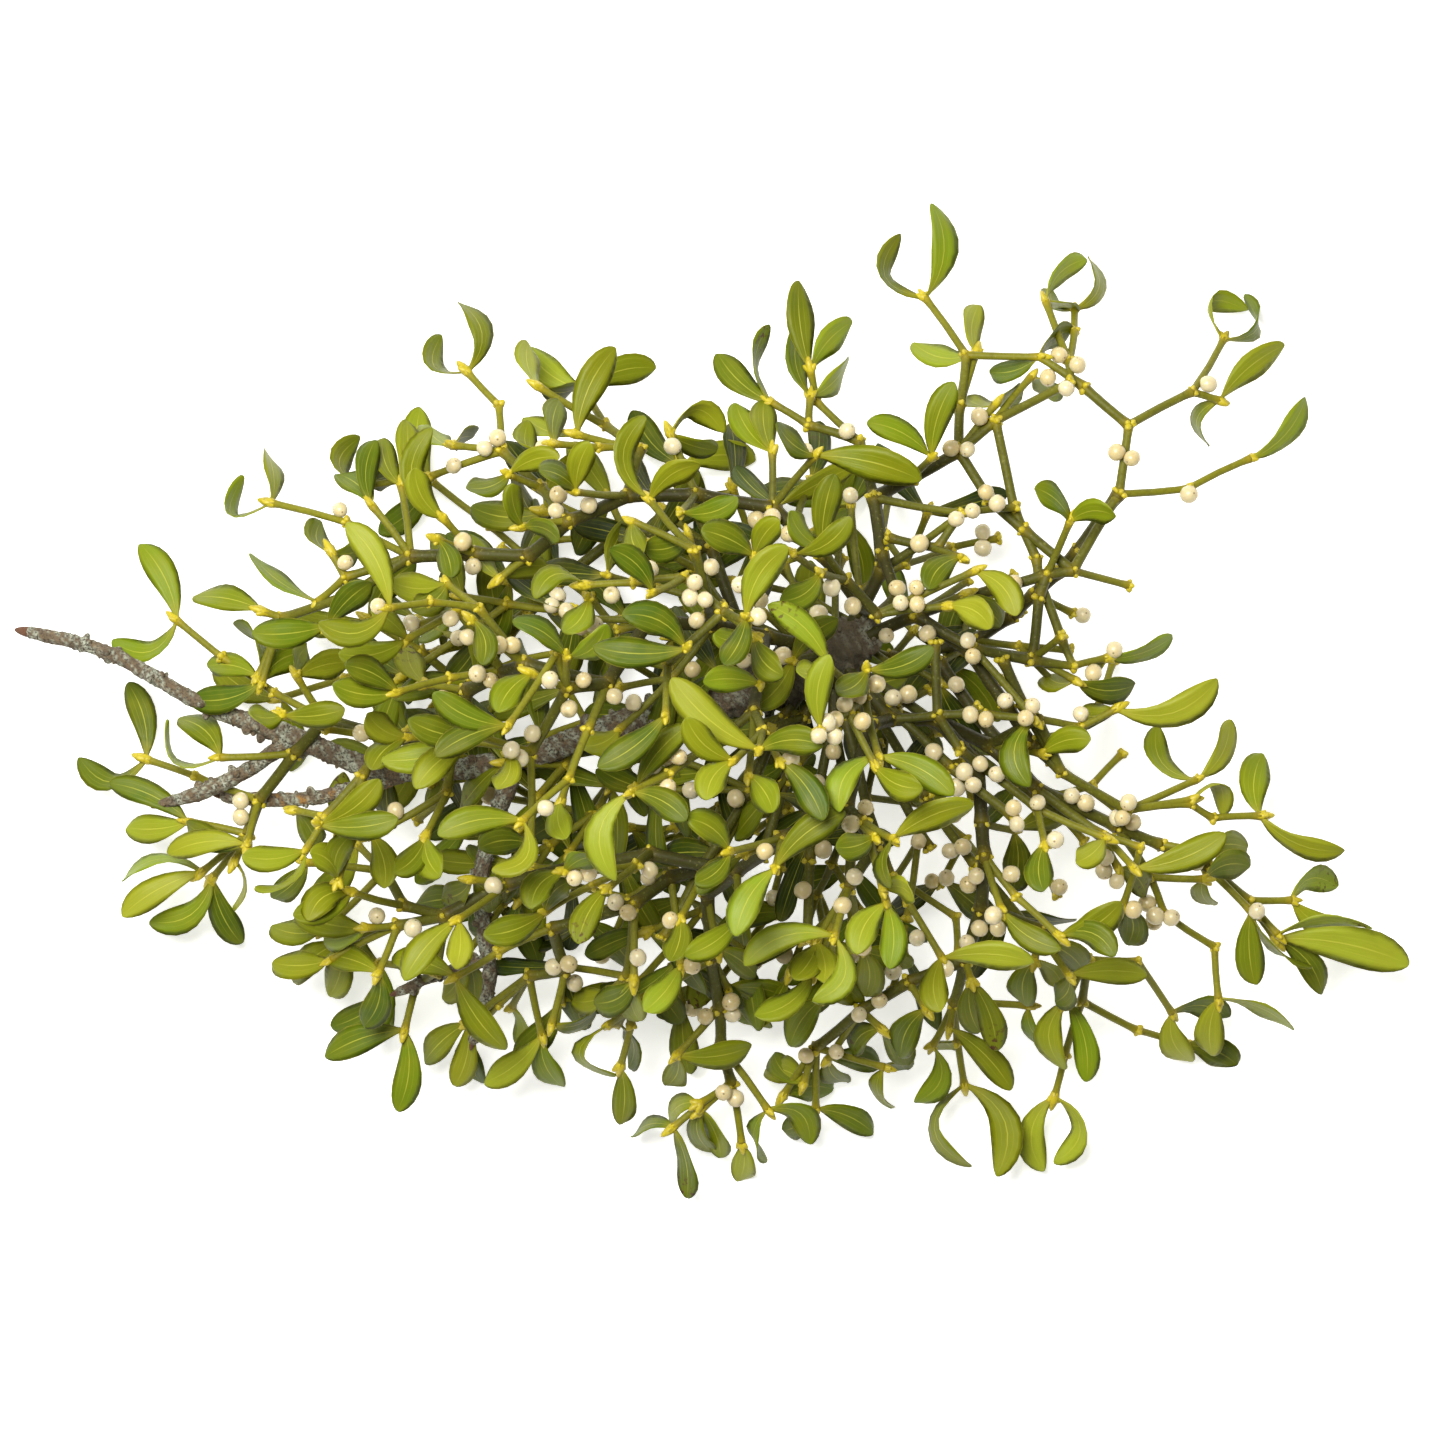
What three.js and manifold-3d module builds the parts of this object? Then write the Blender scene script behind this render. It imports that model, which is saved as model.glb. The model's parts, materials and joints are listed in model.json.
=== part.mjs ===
// Mistletoe bunch: one plant still gripping the lichened host branch it grew on, laid on a
// flat surface. Millimetres, +Z up. The branch and its burl are one grown piece, each woody
// bough is one piece, and each leafy sprig (stems, buds, leaves, berries) is one piece.
import * as THREE from 'three';
import Module from 'manifold-3d';

const wasm = await Module();
wasm.setup();
const { Manifold, Mesh } = wasm;

// Sizes of the plant
const gap = 0.45; // clearance between neighbouring pieces
const leafLength = 47; // a full-grown leaf, base to tip
const leafWidthShare = 0.33; // width over length
const leafThickness = 1.3;
const twigRadius = 1.52; // this year's shoots
const thickestRadius = 3.8; // boughs where they leave the burl
const radiusPower = 0.26; // how fast stems thicken with the shoots they carry
const knotSwell = 1.2; // swollen joints over stem radius
const budLength = 5;
const berryRadius = 4.6;
const berriesPerJoint = 1; // joined berries are one lump
const internode = 47; // one year's growth at most
const room = 11; // clear distance sought round a midrib
const sprigShoots = 8; // shoots carried by one leafy sprig at most
const hub = [60, 24, 96]; // where every bough leaves the burl
const smoothing = 0.14; // steps smoothed out of a piece's surface
const cornerStep = 0.006; // corners that share a place are set this far apart
const lift = 1.2; // centre of a leaf lying on the surface

// Plan places of the stem joints: x, y, level (0 lowest, 1 top of the bunch)
const forkTable = [
  [100, 42, 0.5], [140, 55, 0.45], [165, 62, 0.5], [201, 102, 0.48], [236, 105, 0.42],
  [206, 136, 0.5], [238, 153, 0.45], [177, 157, 0.5], [177, 168, 0.42], [149, 95, 0.5],
  [122, 123, 0.45], [140, 138, 0.5], [126, 171, 0.38], [84, 65, 0.48], [80, 100, 0.48],
  [73, 128, 0.42], [52, 148, 0.36], [123, 92, 0.6], [158, 21, 0.5], [128, 26, 0.55],
  [178, 17, 0.5], [172, 32, 0.6], [178, 64, 0.5], [206, 57, 0.4], [160, -9, 0.55],
  [181, -13, 0.5], [111, -9, 0.5], [88, -9, 0.5], [131, -31, 0.5], [137, -22, 0.42],
  [160, -43, 0.45], [172, -35, 0.5], [205, -54, 0.45], [237, -51, 0.4], [248, -58, 0.36],
  [200, -62, 0.4], [222, -71, 0.36], [245, -82, 0.33], [266, -99, 0.3], [133, -60, 0.5],
  [134, -76, 0.55], [160, -53, 0.55], [192, -66, 0.5], [211, -72, 0.55], [217, -87, 0.36],
  [224, -105, 0.33], [250, -122, 0.25], [211, -129, 0.35], [186, -128, 0.35],
  [184, -149, 0.25], [176, -176, 0.15], [120, -150, 0.3], [125, -128, 0.4], [96, -98, 0.6],
  [66, -52, 0.7], [52, -172, 0.22], [74, -153, 0.35], [10, -190, 0.16], [4, -152, 0.3],
  [0, -127, 0.4], [-2, -95, 0.45], [-38, -100, 0.5], [-42, -136, 0.4], [-20, -87, 0.45],
  [-37, -148, 0.42], [-72, -133, 0.36], [-78, -112, 0.45], [-90, -136, 0.32],
  [-136, -134, 0.36], [-131, -106, 0.45], [-152, -101, 0.4], [-70, 6, 0.8], [-75, 23, 0.86],
  [-21, 18, 0.85], [-51, 8, 0.72], [-88, -25, 0.7], [-69, -38, 0.86], [-113, 45, 0.78],
  [-124, 44, 0.72], [-143, 37, 0.6], [-91, 18, 0.72], [-148, 71, 0.5], [-70, 88, 0.6],
  [-90, 71, 0.52], [-103, 123, 0.45], [-105, 146, 0.38], [-35, 124, 0.45], [-41, 101, 0.5],
  [-8, 73, 0.8], [-180, 88, 0.42], [-180, 61, 0.5], [-212, 41, 0.4], [-176, 53, 0.5],
  [-216, 4, 0.36], [-224, -49, 0.32], [-230, -66, 0.3], [-190, -57, 0.55], [-155, -111, 0.4],
  [17, 38, 0.92], [6, 43, 0.84], [-13, 60, 0.84], [81, 42, 0.66], [76, -12, 0.72],
  [-30, -75, 0.55], [34, -67, 0.78], [-160, -18, 0.45], [-120, 5, 0.55], [-60, 40, 0.6],
  [-30, 40, 0.62], [30, 95, 0.5], [-130, -45, 0.5], [-100, -90, 0.45],
];

// Shoot tips: x, y, level, then for each leaf the plan place of its end, the sideways bow of
// its midrib and the turn of its blade out of the level, in degrees
const tipTable = [
  [267, 120, 0.4, 295, 151, -5, 40], [255, 180, 0.4, 268, 195, 17, 75, 266, 203, -13, 70],
  [252, 149, 0.4, 285, 177, 3, 30, 248, 127, -9, 60],
  [162, 170, 0.45, 179, 184, 3, 60, 138, 163, 3, 40],
  [181, 195, 0.4, 188, 222, -9, 55, 170, 206, 6, 60],
  [166, 198, 0.36, 187, 220, 5, 50, 180, 194, 2, 75],
  [176, 88, 0.6, 158, 104, -3, 35, 198, 90, 4, 30],
  [106, 200, 0.3, 94, 232, 15, 60, 109, 247, -8, 30],
  [131, 172, 0.4, 133, 197, 3, 40, 100, 178, 5, 40],
  [140, 146, 0.5, 154, 151, 2, 50, 126, 150, 2, 60], [158, 160, 0.42, 169, 149, 3, 50],
  [108, 119, 0.6, 119, 156, 3, 10, 76, 136, -4, 20],
  [49, 163, 0.35, 43, 208, 2, 25, 70, 188, 3, 35],
  [49, 150, 0.4, 44, 186, 5, 45, 68, 170, -3, 50],
  [30, 147, 0.4, 3, 172, 3, 20, 29, 186, 8, 75],
  [30, 122, 0.5, 26, 148, 2, 25, 12, 147, 3, 25],
  [51, 120, 0.6, 103, 108, 3, 15, 32, 136, 3, 40], [54, 74, 0.8, 60, 110, 2, 10, 38, 92, 3, 40],
  [-121, 163, 0.35, -126, 198, -10, 40, -134, 182, 12, 60],
  [-85, 155, 0.4, -91, 178, 3, 45, -66, 156, -3, 50],
  [-66, 131, 0.5, -47, 174, 4, 10, -92, 140, 3, 50],
  [-77, 126, 0.5, -75, 148, 2, 35, -90, 138, 10, 55],
  [-99, 111, 0.6, -74, 119, 3, 20, -120, 104, 3, 40],
  [-66, 102, 0.7, -59, 126, 2, 10, -84, 112, -3, 40],
  [-30, 98, 0.7, -32, 139, 12, 35, -5, 115, 4, 30],
  [-20, 131, 0.5, 6, 132, 12, 50, 3, 124, -2, 40],
  [-92, 85, 0.65, -97, 106, 2, 40, -74, 78, 3, 45],
  [-131, 89, 0.6, -137, 134, 13, 25, -145, 114, 4, 20],
  [-167, 96, 0.5, -166, 129, 4, 30, -185, 112, -3, 30],
  [-153, 106, 0.45, -163, 130, 3, 25, -151, 139, -2, 30],
  [-171, 106, 0.4, -174, 131, 12, 55, -152, 112, 2, 40],
  [-127, 126, 0.4, -118, 131, 2, 60, -141, 137, 3, 50],
  [-218, 98, 0.35, -222, 125, -3, 55, -232, 112, 18, 35],
  [-187, 73, 0.5, -193, 89, 5, 50, -172, 76, -2, 30],
  [-265, 40, 0.32, -284, 78, -4, 10, -298, 30, 11, 40], [-221, 44, 0.42, -257, 51, -3, 30],
  [-194, 49, 0.45, -228, 73, 3, 60], [-156, 45, 0.95, -177, 86, -5, 5, -190, 38, 9, 15],
  [-188, 37, 0.6, -166, 58, 2, 20, -225, 33, 2, 5],
  [-224, 12, 0.4, -237, 38, -8, 80, -250, 17, -3, 15],
  [-222, 9, 0.46, -201, 24, 4, 15, -258, 1, 4, 15],
  [-243, -28, 0.36, -269, -9, 15, 80, -265, -9, -5, 15],
  [-210, -7, 0.65, -179, -4, -2, 10, -226, -6, 2, 40],
  [-204, 12, 0.5, -178, 19, 2, 15, -200, 27, 2, 50],
  [-153, 4, 0.8, -178, 17, -3, 15, -184, 8, 3, 15],
  [-281, -29, 0.22, -291, 9, -4, 8, -315, -28, 12, 45],
  [-259, -60, 0.32, -291, -63, 2, 12, -299, -41, -4, 20],
  [-229, -71, 0.45, -260, -60, 4, 5, -269, -76, -4, 15],
  [-253, -85, 0.26, -293, -90, -9, 65, -293, -107, -3, 10],
  [-248, -88, 0.2, -280, -110, 9, 15, -234, -121, -3, 10], [-236, -79, 0.34, -238, -103, 6, 80],
  [-199, -73, 0.6, -230, -76, 3, 15, -224, -92, 8, 75],
  [-199, -80, 0.36, -218, -98, 2, 15, -228, -80, -6, 80],
  [-191, -60, 0.9, -152, -57, -3, 3, -161, -38, -4, 15], [-205, -54, 0.5, -195, -73, 2, 20],
  [-183, -88, 0.7, -176, -66, 4, 15, -196, -74, -4, 30],
  [-176, -94, 0.6, -197, -108, -6, 15, -205, -105, 3, 20],
  [-170, -112, 0.45, -206, -105, 2, 20, -192, -118, 2, 30], [-191, -113, 0.3, -219, -112, 3, 30],
  [-184, -120, 0.3, -190, -147, 3, 15, -208, -140, -3, 20],
  [-164, -134, 0.5, -190, -126, -2, 20, -172, -161, 4, 5], [-188, -128, 0.3, -218, -130, 2, 20],
  [-160, -146, 0.2, -190, -163, 2, 20, -170, -168, 3, 25],
  [-152, -163, 0.3, -192, -177, -3, 5, -156, -204, 4, 8],
  [-124, -107, 0.65, -125, -131, 2, 5, -150, -137, -3, 15],
  [-126, -136, 0.5, -158, -128, -3, 15, -101, -172, -3, 15],
  [-122, -126, 0.25, -118, -150, 2, 20, -134, -148, 3, 30],
  [-121, -160, 0.2, -143, -180, -2, 20, -128, -192, 3, 20], [-119, -164, 0.12, -114, -191, -5, 20],
  [-84, -166, 0.25, -113, -190, 3, 20, -74, -192, -4, 25], [-79, -160, 0.35, -56, -151, -5, 60],
  [-99, -152, 0.22, -95, -176, 4, 50], [-81, -103, 0.78, -111, -114, 3, 5, -69, -88, 3, 15],
  [-71, -83, 0.85, -87, -101, -5, 10, -52, -76, 3, 40], [-50, -91, 0.85, -64, -118, -3, 5],
  [-38, -44, 0.97, -12, -58, 3, 3, -46, -87, -12, 12], [-36, -42, 0.86, -11, -12, 3, 15],
  [-91, -58, 0.97, -132, -65, -4, 3, -106, -82, 11, 10], [-88, -70, 0.7, -113, -72, -3, 15],
  [-98, -12, 0.97, -134, 4, 4, 3, -133, -27, -3, 10], [-114, -17, 0.82, -147, -9, 3, 8],
  [-117, -20, 0.7, -161, -29, 3, 10, -144, -43, -3, 10], [-98, -26, 0.8, -104, -43, 3, 30],
  [-149, -18, 0.6, -168, -6, 3, 10, -166, -34, -3, 25], [-28, 52, 0.97, -49, 73, -4, 5],
  [-12, 25, 1, -43, 41, -6, 5, -57, 26, 3, 8], [-70, 21, 0.9, -51, 37, -5, 30, -96, 38, -4, 40],
  [-61, 56, 0.85, -85, 49, -9, 35], [-60, 50, 0.75, -72, 33, 3, 20],
  [-22, -7, 0.95, -55, -32, 3, 12], [23, -24, 0.96, -19, 11, 4, 8, 54, -22, 4, 5],
  [11, -29, 1, -12, -8, 4, 3, -2, -48, -4, 8], [18, -36, 0.86, 30, -54, 2, 10],
  [24, 8, 0.82, -4, 9, -2, 3], [17, 40, 1, 37, 74, 5, 5, 6, 17, 2, 25],
  [21, 31, 0.95, 35, 12, -4, 20, 1, 32, 3, 30], [21, 70, 0.96, -5, 82, -2, 5, 33, 87, 2, 10],
  [40, 71, 0.9, 67, 89, -5, 20], [53, 62, 0.88, 33, 48, 4, 8],
  [57, 16, 0.97, 27, 46, -5, 5, 41, 14, 2, 30], [53, -14, 0.97, 57, 22, 4, 5],
  [33, -29, 0.92, 54, -58, 3, 8], [75, 15, 0.92, 107, 26, -4, 5, 60, 4, 3, 20],
  [81, -27, 0.9, 117, -46, 4, 8, 62, -54, -8, 25], [79, -31, 0.96, 102, -42, -4, 10],
  [88, -67, 0.92, 127, -50, 3, 20, 87, -90, -5, 60], [79, -66, 0.86, 60, -71, 2, 8],
  [9, -73, 0.96, -12, -57, -4, 20, -8, -88, 3, 30], [31, -81, 0.96, 65, -54, 4, 5, 12, -114, -4, 5],
  [17, -74, 0.85, -6, -94, -3, 25], [-15, -106, 0.7, -20, -127, 2, 20],
  [14, -105, 0.75, -13, -124, 3, 8], [60, -115, 0.8, 16, -129, -8, 15, 49, -146, 11, 10],
  [85, -98, 0.86, 71, -123, -4, 5, 86, -130, 3, 5], [83, -91, 0.92, 98, -97, 4, 30],
  [113, -126, 0.65, 158, -128, 3, 20, 112, -152, -4, 5], [50, -134, 0.55, 21, -154, 5, 30],
  [56, -146, 0.45, 39, -171, -3, 5, 74, -147, 3, 25],
  [52, -118, 0.6, 55, -138, 2, 10, 40, -136, 2, 15],
  [74, -122, 0.5, 76, -146, 3, 8, 42, -134, -3, 20],
  [8, -142, 0.3, 32, -151, 4, 15, 41, -149, 3, 40],
  [3, -122, 0.45, 22, -136, 2, 10], [-15, -130, 0.55, -33, -152, 2, 10],
  [-38, -137, 0.5, -58, -149, 4, 5, -35, -158, -3, 20], [-50, -144, 0.36, -69, -149, 2, 15],
  [-50, -160, 0.3, -47, -186, -17, 35], [-46, -160, 0.26, -41, -183, 5, 60],
  [-45, -181, 0.24, -45, -211, 2, 20], [-17, -175, 0.36, 20, -171, -3, 20, -22, -191, 3, 20],
  [-5, -203, 0.2, 1, -225, -5, 40, 5, -228, 2, 45], [-6, -200, 0.22, -21, -209, -4, 40],
  [-19, -212, 0.14, -39, -217, -4, 60, -12, -248, 3, 50], [15, -220, 0.1, 14, -240, 2, 20],
  [52, -203, 0.12, 81, -216, 3, 15, 36, -215, 2, 30], [36, -196, 0.2, 61, -194, 3, 15],
  [28, -203, 0.12, 28, -229, -7, 70, 49, -221, 9, 15],
  [46, -190, 0.2, 27, -184, -3, 15, 31, -176, 3, 30],
  [58, -178, 0.2, 67, -190, -3, 20, 84, -182, 3, 15],
  [84, -162, 0.35, 97, -181, 2, 25, 70, -175, -4, 25], [106, -152, 0.45, 94, -177, -4, 5],
  [86, -182, 0.2, 91, -203, -6, 60, 97, -184, 3, 70],
  [126, -191, 0.1, 130, -232, -17, 60, 142, -237, 13, 10],
  [118, -162, 0.3, 149, -193, 3, 12], [110, -171, 0.22, 101, -200, 9, 15, 120, -174, 3, 30],
  [128, -138, 0.45, 133, -164, -3, 5, 141, -173, 3, 20],
  [159, -128, 0.5, 156, -151, -4, 8, 174, -142, 3, 40], [157, -151, 0.3, 174, -170, -7, 55],
  [142, -102, 0.65, 171, -121, -4, 8], [170, -115, 0.7, 197, -125, 7, 12, 200, -98, -4, 12],
  [166, -120, 0.5, 184, -133, 2, 8], [163, -70, 0.7, 162, -93, -3, 3],
  [176, -135, 0.5, 215, -135, 2, 5, 170, -149, 3, 10],
  [171, -197, 0.1, 166, -235, -9, 10, 171, -231, 13, 50],
  [176, -148, 0.3, 176, -183, -9, 20, 186, -189, 4, 25],
  [229, -155, 0.2, 258, -158, 5, 40, 240, -180, -5, 15], [236, -172, 0.1, 263, -182, 3, 15],
  [252, -148, 0.2, 290, -164, 4, 65, 250, -177, -3, 5],
  [280, -118, 0.25, 347, -131, 4, 15, 304, -146, 5, 8], [281, -116, 0.3, 328, -113, 6, 65],
  [267, -104, 0.4, 270, -141, -2, 3, 298, -132, -6, 80],
  [288, -99, 0.28, 312, -93, 8, 25, 319, -119, -3, 12],
  [243, -88, 0.42, 267, -82, 4, 15, 248, -101, -3, 15],
  [272, -57, 0.34, 274, -26, 4, 5, 314, -74, -6, 40],
  [240, -39, 0.34, 221, -12, 9, 40, 257, -9, -5, 35], [237, -49, 0.4, 253, -57, 13, 60],
  [207, -82, 0.65, 252, -65, -4, 5], [243, -75, 0.42, 266, -73, 3, 10],
  [199, -4, 0.5, 249, 11, -10, 20, 181, -7, 2, 30],
  [195, 21, 0.5, 228, 32, -3, 50, 197, 3, -6, 80],
  [179, 10, 0.5, 209, 8, -4, 20, 165, 13, 3, 15], [158, -9, 0.6, 156, -42, -9, 15],
  [162, -26, 0.52, 186, -19, 3, 8], [122, 70, 0.66, 106, 54, -4, 8],
  [128, 63, 0.76, 148, 41, 5, 5], [115, 46, 0.72, 136, 35, 4, 8], [124, 52, 0.5, 143, 37, 2, 15],
  [200, -82, 0.5, 215, -96, 3, 8], [203, -101, 0.46, 206, -121, 4, 15],
  [193, -67, 0.62, 178, -79, 2, 20], [-11, 80, 0.7, -33, 74, 3, 10],
  [-15, 92, 0.7, 13, 99, -4, 8], [-38, 87, 0.76, -33, 70, -3, 20],
  [-129, 57, 0.7, -156, 58, 3, 8, -146, 44, 3, 20], [-134, 79, 0.6, -127, 60, 2, 15],
  [-116, 39, 0.82, -111, 17, 4, 15], [-149, 30, 0.66, -182, 23, 4, 10, -166, 44, -2, 35],
  [-87, 13, 0.84, -103, -6, -3, 8], [-73, -49, 0.74, -70, -67, -3, 8],
  [-140, -66, 0.6, -155, -84, 3, 8, -132, -86, -3, 10], [-167, -66, 0.55, -160, -92, 3, 10],
  [-88, -82, 0.5, -103, -100, -3, 12], [-118, -88, 0.5, -133, -97, 3, 15, -108, -104, 3, 25],
  [-104, 60, 0.5, -80, 66, 3, 20, -118, 82, 3, 30], [-45, -14, 0.6, -64, -22, 3, 20],
  [-140, 8, 0.5, -118, -2, 3, 20, -150, 28, 3, 25], [40, 20, 0.6, 20, -4, 3, 15, 62, 40, 3, 25],
];

// Berries: plan places; each sits on the nearest joint
const berryTable = [
  [201, 122], [206, 120], [236, 102], [247, 157], [166, 159], [175, 154], [172, 171], [181, 166],
  [132, 140], [120, 89], [128, 93], [135, 84], [135, 76], [43, 124], [67, 133], [90, 114],
  [53, 107], [69, 102], [38, 82], [30, 90], [22, 87], [102, 77], [-19, 125], [-111, 125],
  [-106, 129], [-75, 101], [-76, 93], [-60, 96], [-83, 124], [-127, 116], [-122, 78], [-183, 95],
  [-180, 68], [-164, 46], [-172, -16], [-233, -50], [-233, -57], [-155, -54], [-117, 66],
  [-127, 40], [-125, 31], [-119, 31], [-147, 38], [-103, 27], [-97, 27], [-114, 13], [-108, 10],
  [-132, 0], [-97, -24], [-93, -28], [-87, -16], [-75, 53], [-64, 36], [-57, 37], [-78, 10],
  [-62, 10], [-47, 2], [-38, -1], [-69, -4], [-48, 50], [-30, 65], [-9, 50], [-4, 49],
  [-8, 57], [8, 58], [3, 66], [-8, 40], [-9, 15], [16, 20], [-28, -20], [-29, -26], [-21, -42],
  [-10, -44], [12, -48], [-80, -52], [-66, -86], [-60, -84], [-30, -83], [-31, -87], [58, 51],
  [53, 43], [68, 45], [86, 32], [106, 33], [35, 22], [66, 7], [83, 8], [121, 8], [73, -10],
  [109, -25], [60, -25], [52, -40], [124, -35], [128, -41], [119, -45], [121, -55], [132, -31],
  [140, -36], [157, -3], [154, -8], [144, 0], [149, 58], [195, 40], [201, 28], [189, 10],
  [181, -5], [160, -50], [26, -73], [55, -73], [68, -60], [75, -52], [102, -69], [117, -75],
  [124, -72], [130, -86], [168, -68], [194, -77], [178, -47], [184, -50], [70, -86], [147, -85],
  [203, -56], [208, -60], [45, -93], [31, -98], [32, -105], [64, -100], [109, -90], [117, -88],
  [122, -91], [172, -92], [195, -89], [190, -92], [138, -105], [132, -112], [141, -112],
  [126, -119], [34, -125], [24, -133], [90, -134], [115, -132], [83, -148], [73, -155],
  [47, -176], [62, -174], [100, -117], [215, -103], [211, -104], [215, -111], [226, -107],
  [220, -106], [270, -104], [197, -108], [240, -80], [-47, -99], [-41, -104], [-20, -107],
  [-36, -126], [-9, -130], [-42, -149], [-66, -140], [-8, -153], [10, -149], [12, -155],
  [-165, -106], [-147, -112], [-107, -91], [7, -195], [11, -197], [-124, -20], [-3, -156],
];

// Host branch: x, y, z, radius along each limb; the first limb ends in the burl
const hostLimbs = [
  [[-345, 33, 46, 1.6], [-338, 34, 47, 3.2], [-297, 23, 52, 3.6], [-251, -2, 60, 3.8],
    [-206, -18, 68, 5.2], [-161, -34, 74, 5], [-100, -30, 80, 5.8], [-40, -10, 86, 7],
    [20, 5, 92, 11], [52, 20, 95, 15], [74, 32, 95, 11], [84, 38, 94, 5]],
  [[-206, -18, 68, 4.4], [-229, -34, 62, 3.8], [-252, -45, 56, 3.8], [-275, -52, 50, 2.4]],
  [[-150, -36, 74, 4], [-191, -47, 60, 3.5], [-220, -49, 52, 3.5], [-244, -47, 47, 3.2]],
  [[-96, -31, 80, 4.6], [-112, -76, 70, 4.2], [-113, -109, 60, 3.9], [-110, -139, 48, 3.5],
    [-119, -171, 38, 2.6]],
  [[-110, -128, 50, 3.4], [-136, -136, 54, 2.9], [-157, -145, 56, 2.3]],
];

const distance = (a, b) => Math.hypot(a[0] - b[0], a[1] - b[1], a[2] - b[2]);
const blend = (a, b, t) => a.map((value, i) => value + (b[i] - value) * t);

// Repeatable number from 0 to 1 for one item and one use
function chance(item, use) {
  const wave = Math.sin(item * 12.9898 + use * 78.233) * 4375.8545;
  return wave - Math.floor(wave);
}

// Height of a place in the bunch: a flattened dome over a floor of resting leaves
function heightAt(x, y, level) {
  const out = Math.min(1, ((x - 10) / 340) ** 2 + ((y + 5) / 255) ** 2);
  const low = 5 + 6 * out;
  return low + level * (44 + 176 * Math.sqrt(1 - out) - low);
}

// Joint nearer the burl that a new joint would most naturally grow from
function bestParent(place, knots) {
  const own = distance(place, hub);
  let best = 0;
  let least = Infinity;
  knots.forEach((knot, index) => {
    const inner = distance(knot.at, hub);
    if (inner > own - 9 || knot.leaves) return;
    const step = distance(place, knot.at);
    const cost = step + 0.8 * (step + inner - own) + 7 * Math.max(0, knot.kids - 1);
    if (cost < least) [best, least] = [index, cost];
  });
  return best;
}

// Adds a joint with the yearly joints between it and its parent
function growTo(place, leaves, knots) {
  let parent = bestParent(place, knots);
  const start = knots[parent].at;
  const years = Math.ceil(distance(place, start) / internode);
  for (let year = 1; year <= years; year += 1) {
    const sway = year < years ? 4 : 0;
    const at = blend(start, place, year / years)
      .map((value, i) => value + sway * (2 * chance(knots.length, i) - 1));
    knots[parent].kids += 1;
    knots.push({ at, parent, kids: 0, leaves: year === years ? leaves : null });
    parent = knots.length - 1;
  }
}

// Leaves of a shoot with no place of its own in the table, opposite each other
function hiddenTip(index, count) {
  const angle = index * 2.39996;
  const out = 0.12 + 0.72 * Math.sqrt((index + 0.5) / count);
  const x = -55 + 210 * out * Math.cos(angle);
  const y = -5 + 200 * out * Math.sin(angle);
  const turn = angle + 1.9 * (chance(index, 5) - 0.5);
  const ends = [turn - 1.1, turn + 1.1].flatMap((way) => [
    x + 37 * Math.cos(way), y + 37 * Math.sin(way), 4, 10]);
  return [x, y, 0.02 + 0.2 * chance(index, 6), ...ends];
}

function placeOf([x, y, level]) {
  return [x, y, heightAt(x, y, level)];
}

// Points along the leaves of a shoot tip
function leafPoints(at, leaves) {
  return leavesOf(at, leaves).flatMap((leaf) => [0.3, 0.5, 0.7, 0.9].map((t) => curveAt(leaf, t)));
}

// Tries heights near the wanted one and takes the one with most room round its leaves
function clearPlace(row, taken) {
  const [x, y, z] = placeOf(row);
  let best = z;
  let least = Infinity;
  [0, 8, -8, 16, -16, 24, -24].forEach((shift) => {
    const at = [x, y, Math.max(3, z + shift)];
    let crowding = 0.6 * Math.abs(shift);
    leafPoints(at, row.slice(2)).forEach((point) => taken.forEach((other) => {
      crowding += Math.max(0, room - point.distanceTo(other));
    }));
    if (crowding < least) [best, least] = [at[2], crowding];
  });
  return [x, y, best];
}

// The whole plant: joints outwards from the burl, then shoot tips with their leaves
function growPlant() {
  const knots = [{ at: hub, parent: -1, kids: 0, leaves: null }];
  const byReach = (a, b) => distance(placeOf(a), hub) - distance(placeOf(b), hub);
  [...forkTable].sort(byReach).forEach((row) => growTo(placeOf(row), null, knots));
  const taken = knots.map((knot) => new THREE.Vector3(...knot.at));
  const hidden = Array.from({ length: 22 }, (_, i) => hiddenTip(i, 22));
  [...tipTable, ...hidden].sort(byReach).forEach((row) => {
    const at = clearPlace(row, taken);
    growTo(at, row.slice(2), knots);
    taken.push(...leafPoints(at, row.slice(2)), new THREE.Vector3(...at));
  });
  knots.forEach((knot) => { knot.shoots = knot.kids ? 0 : 1; });
  for (let i = knots.length - 1; i > 0; i -= 1) {
    const parent = knots[knots[i].parent];
    parent.shoots += knots[i].shoots;
    if (!parent.main || knots[i].shoots > knots[parent.main].shoots) parent.main = i;
  }
  knots.forEach((knot) => {
    knot.radius = Math.min(thickestRadius, twigRadius * knot.shoots ** radiusPower);
  });
  return knots;
}

// Curve of one leaf: base, middle handle and end of a quadratic curve, width, turn
function leafShape(base, level, [endX, endY, bow, turn]) {
  const [dx, dy] = [endX - base[0], endY - base[1]];
  const reach = Math.hypot(dx, dy);
  const length = Math.max(leafLength, reach * 1.03);
  const spare = Math.sqrt(Math.max(0, length ** 2 - reach ** 2 - (2.2 * bow) ** 2));
  const rise = spare * (level > 0.5 ? 0.45 : -0.6);
  const end = [endX, endY, Math.max(lift, base[2] + rise)];
  const side = [-dy / reach, dx / reach, 0];
  const handle = [base[0] + dx / 2 + 2 * bow * side[0], base[1] + dy / 2 + 2 * bow * side[1],
    Math.max(lift, (base[2] + end[2]) / 2 + 0.1 * length)];
  const width = length * leafWidthShare;
  const tightest = reach ** 2 / (8 * Math.abs(bow) + 0.1); // a blade can't bend sharply in its own plane
  const onEdge = Math.acos(Math.min(1, 1.4 * tightest / width));
  return { base, handle, end, side, turn: Math.max(turn * Math.PI / 180, onEdge), width };
}

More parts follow.
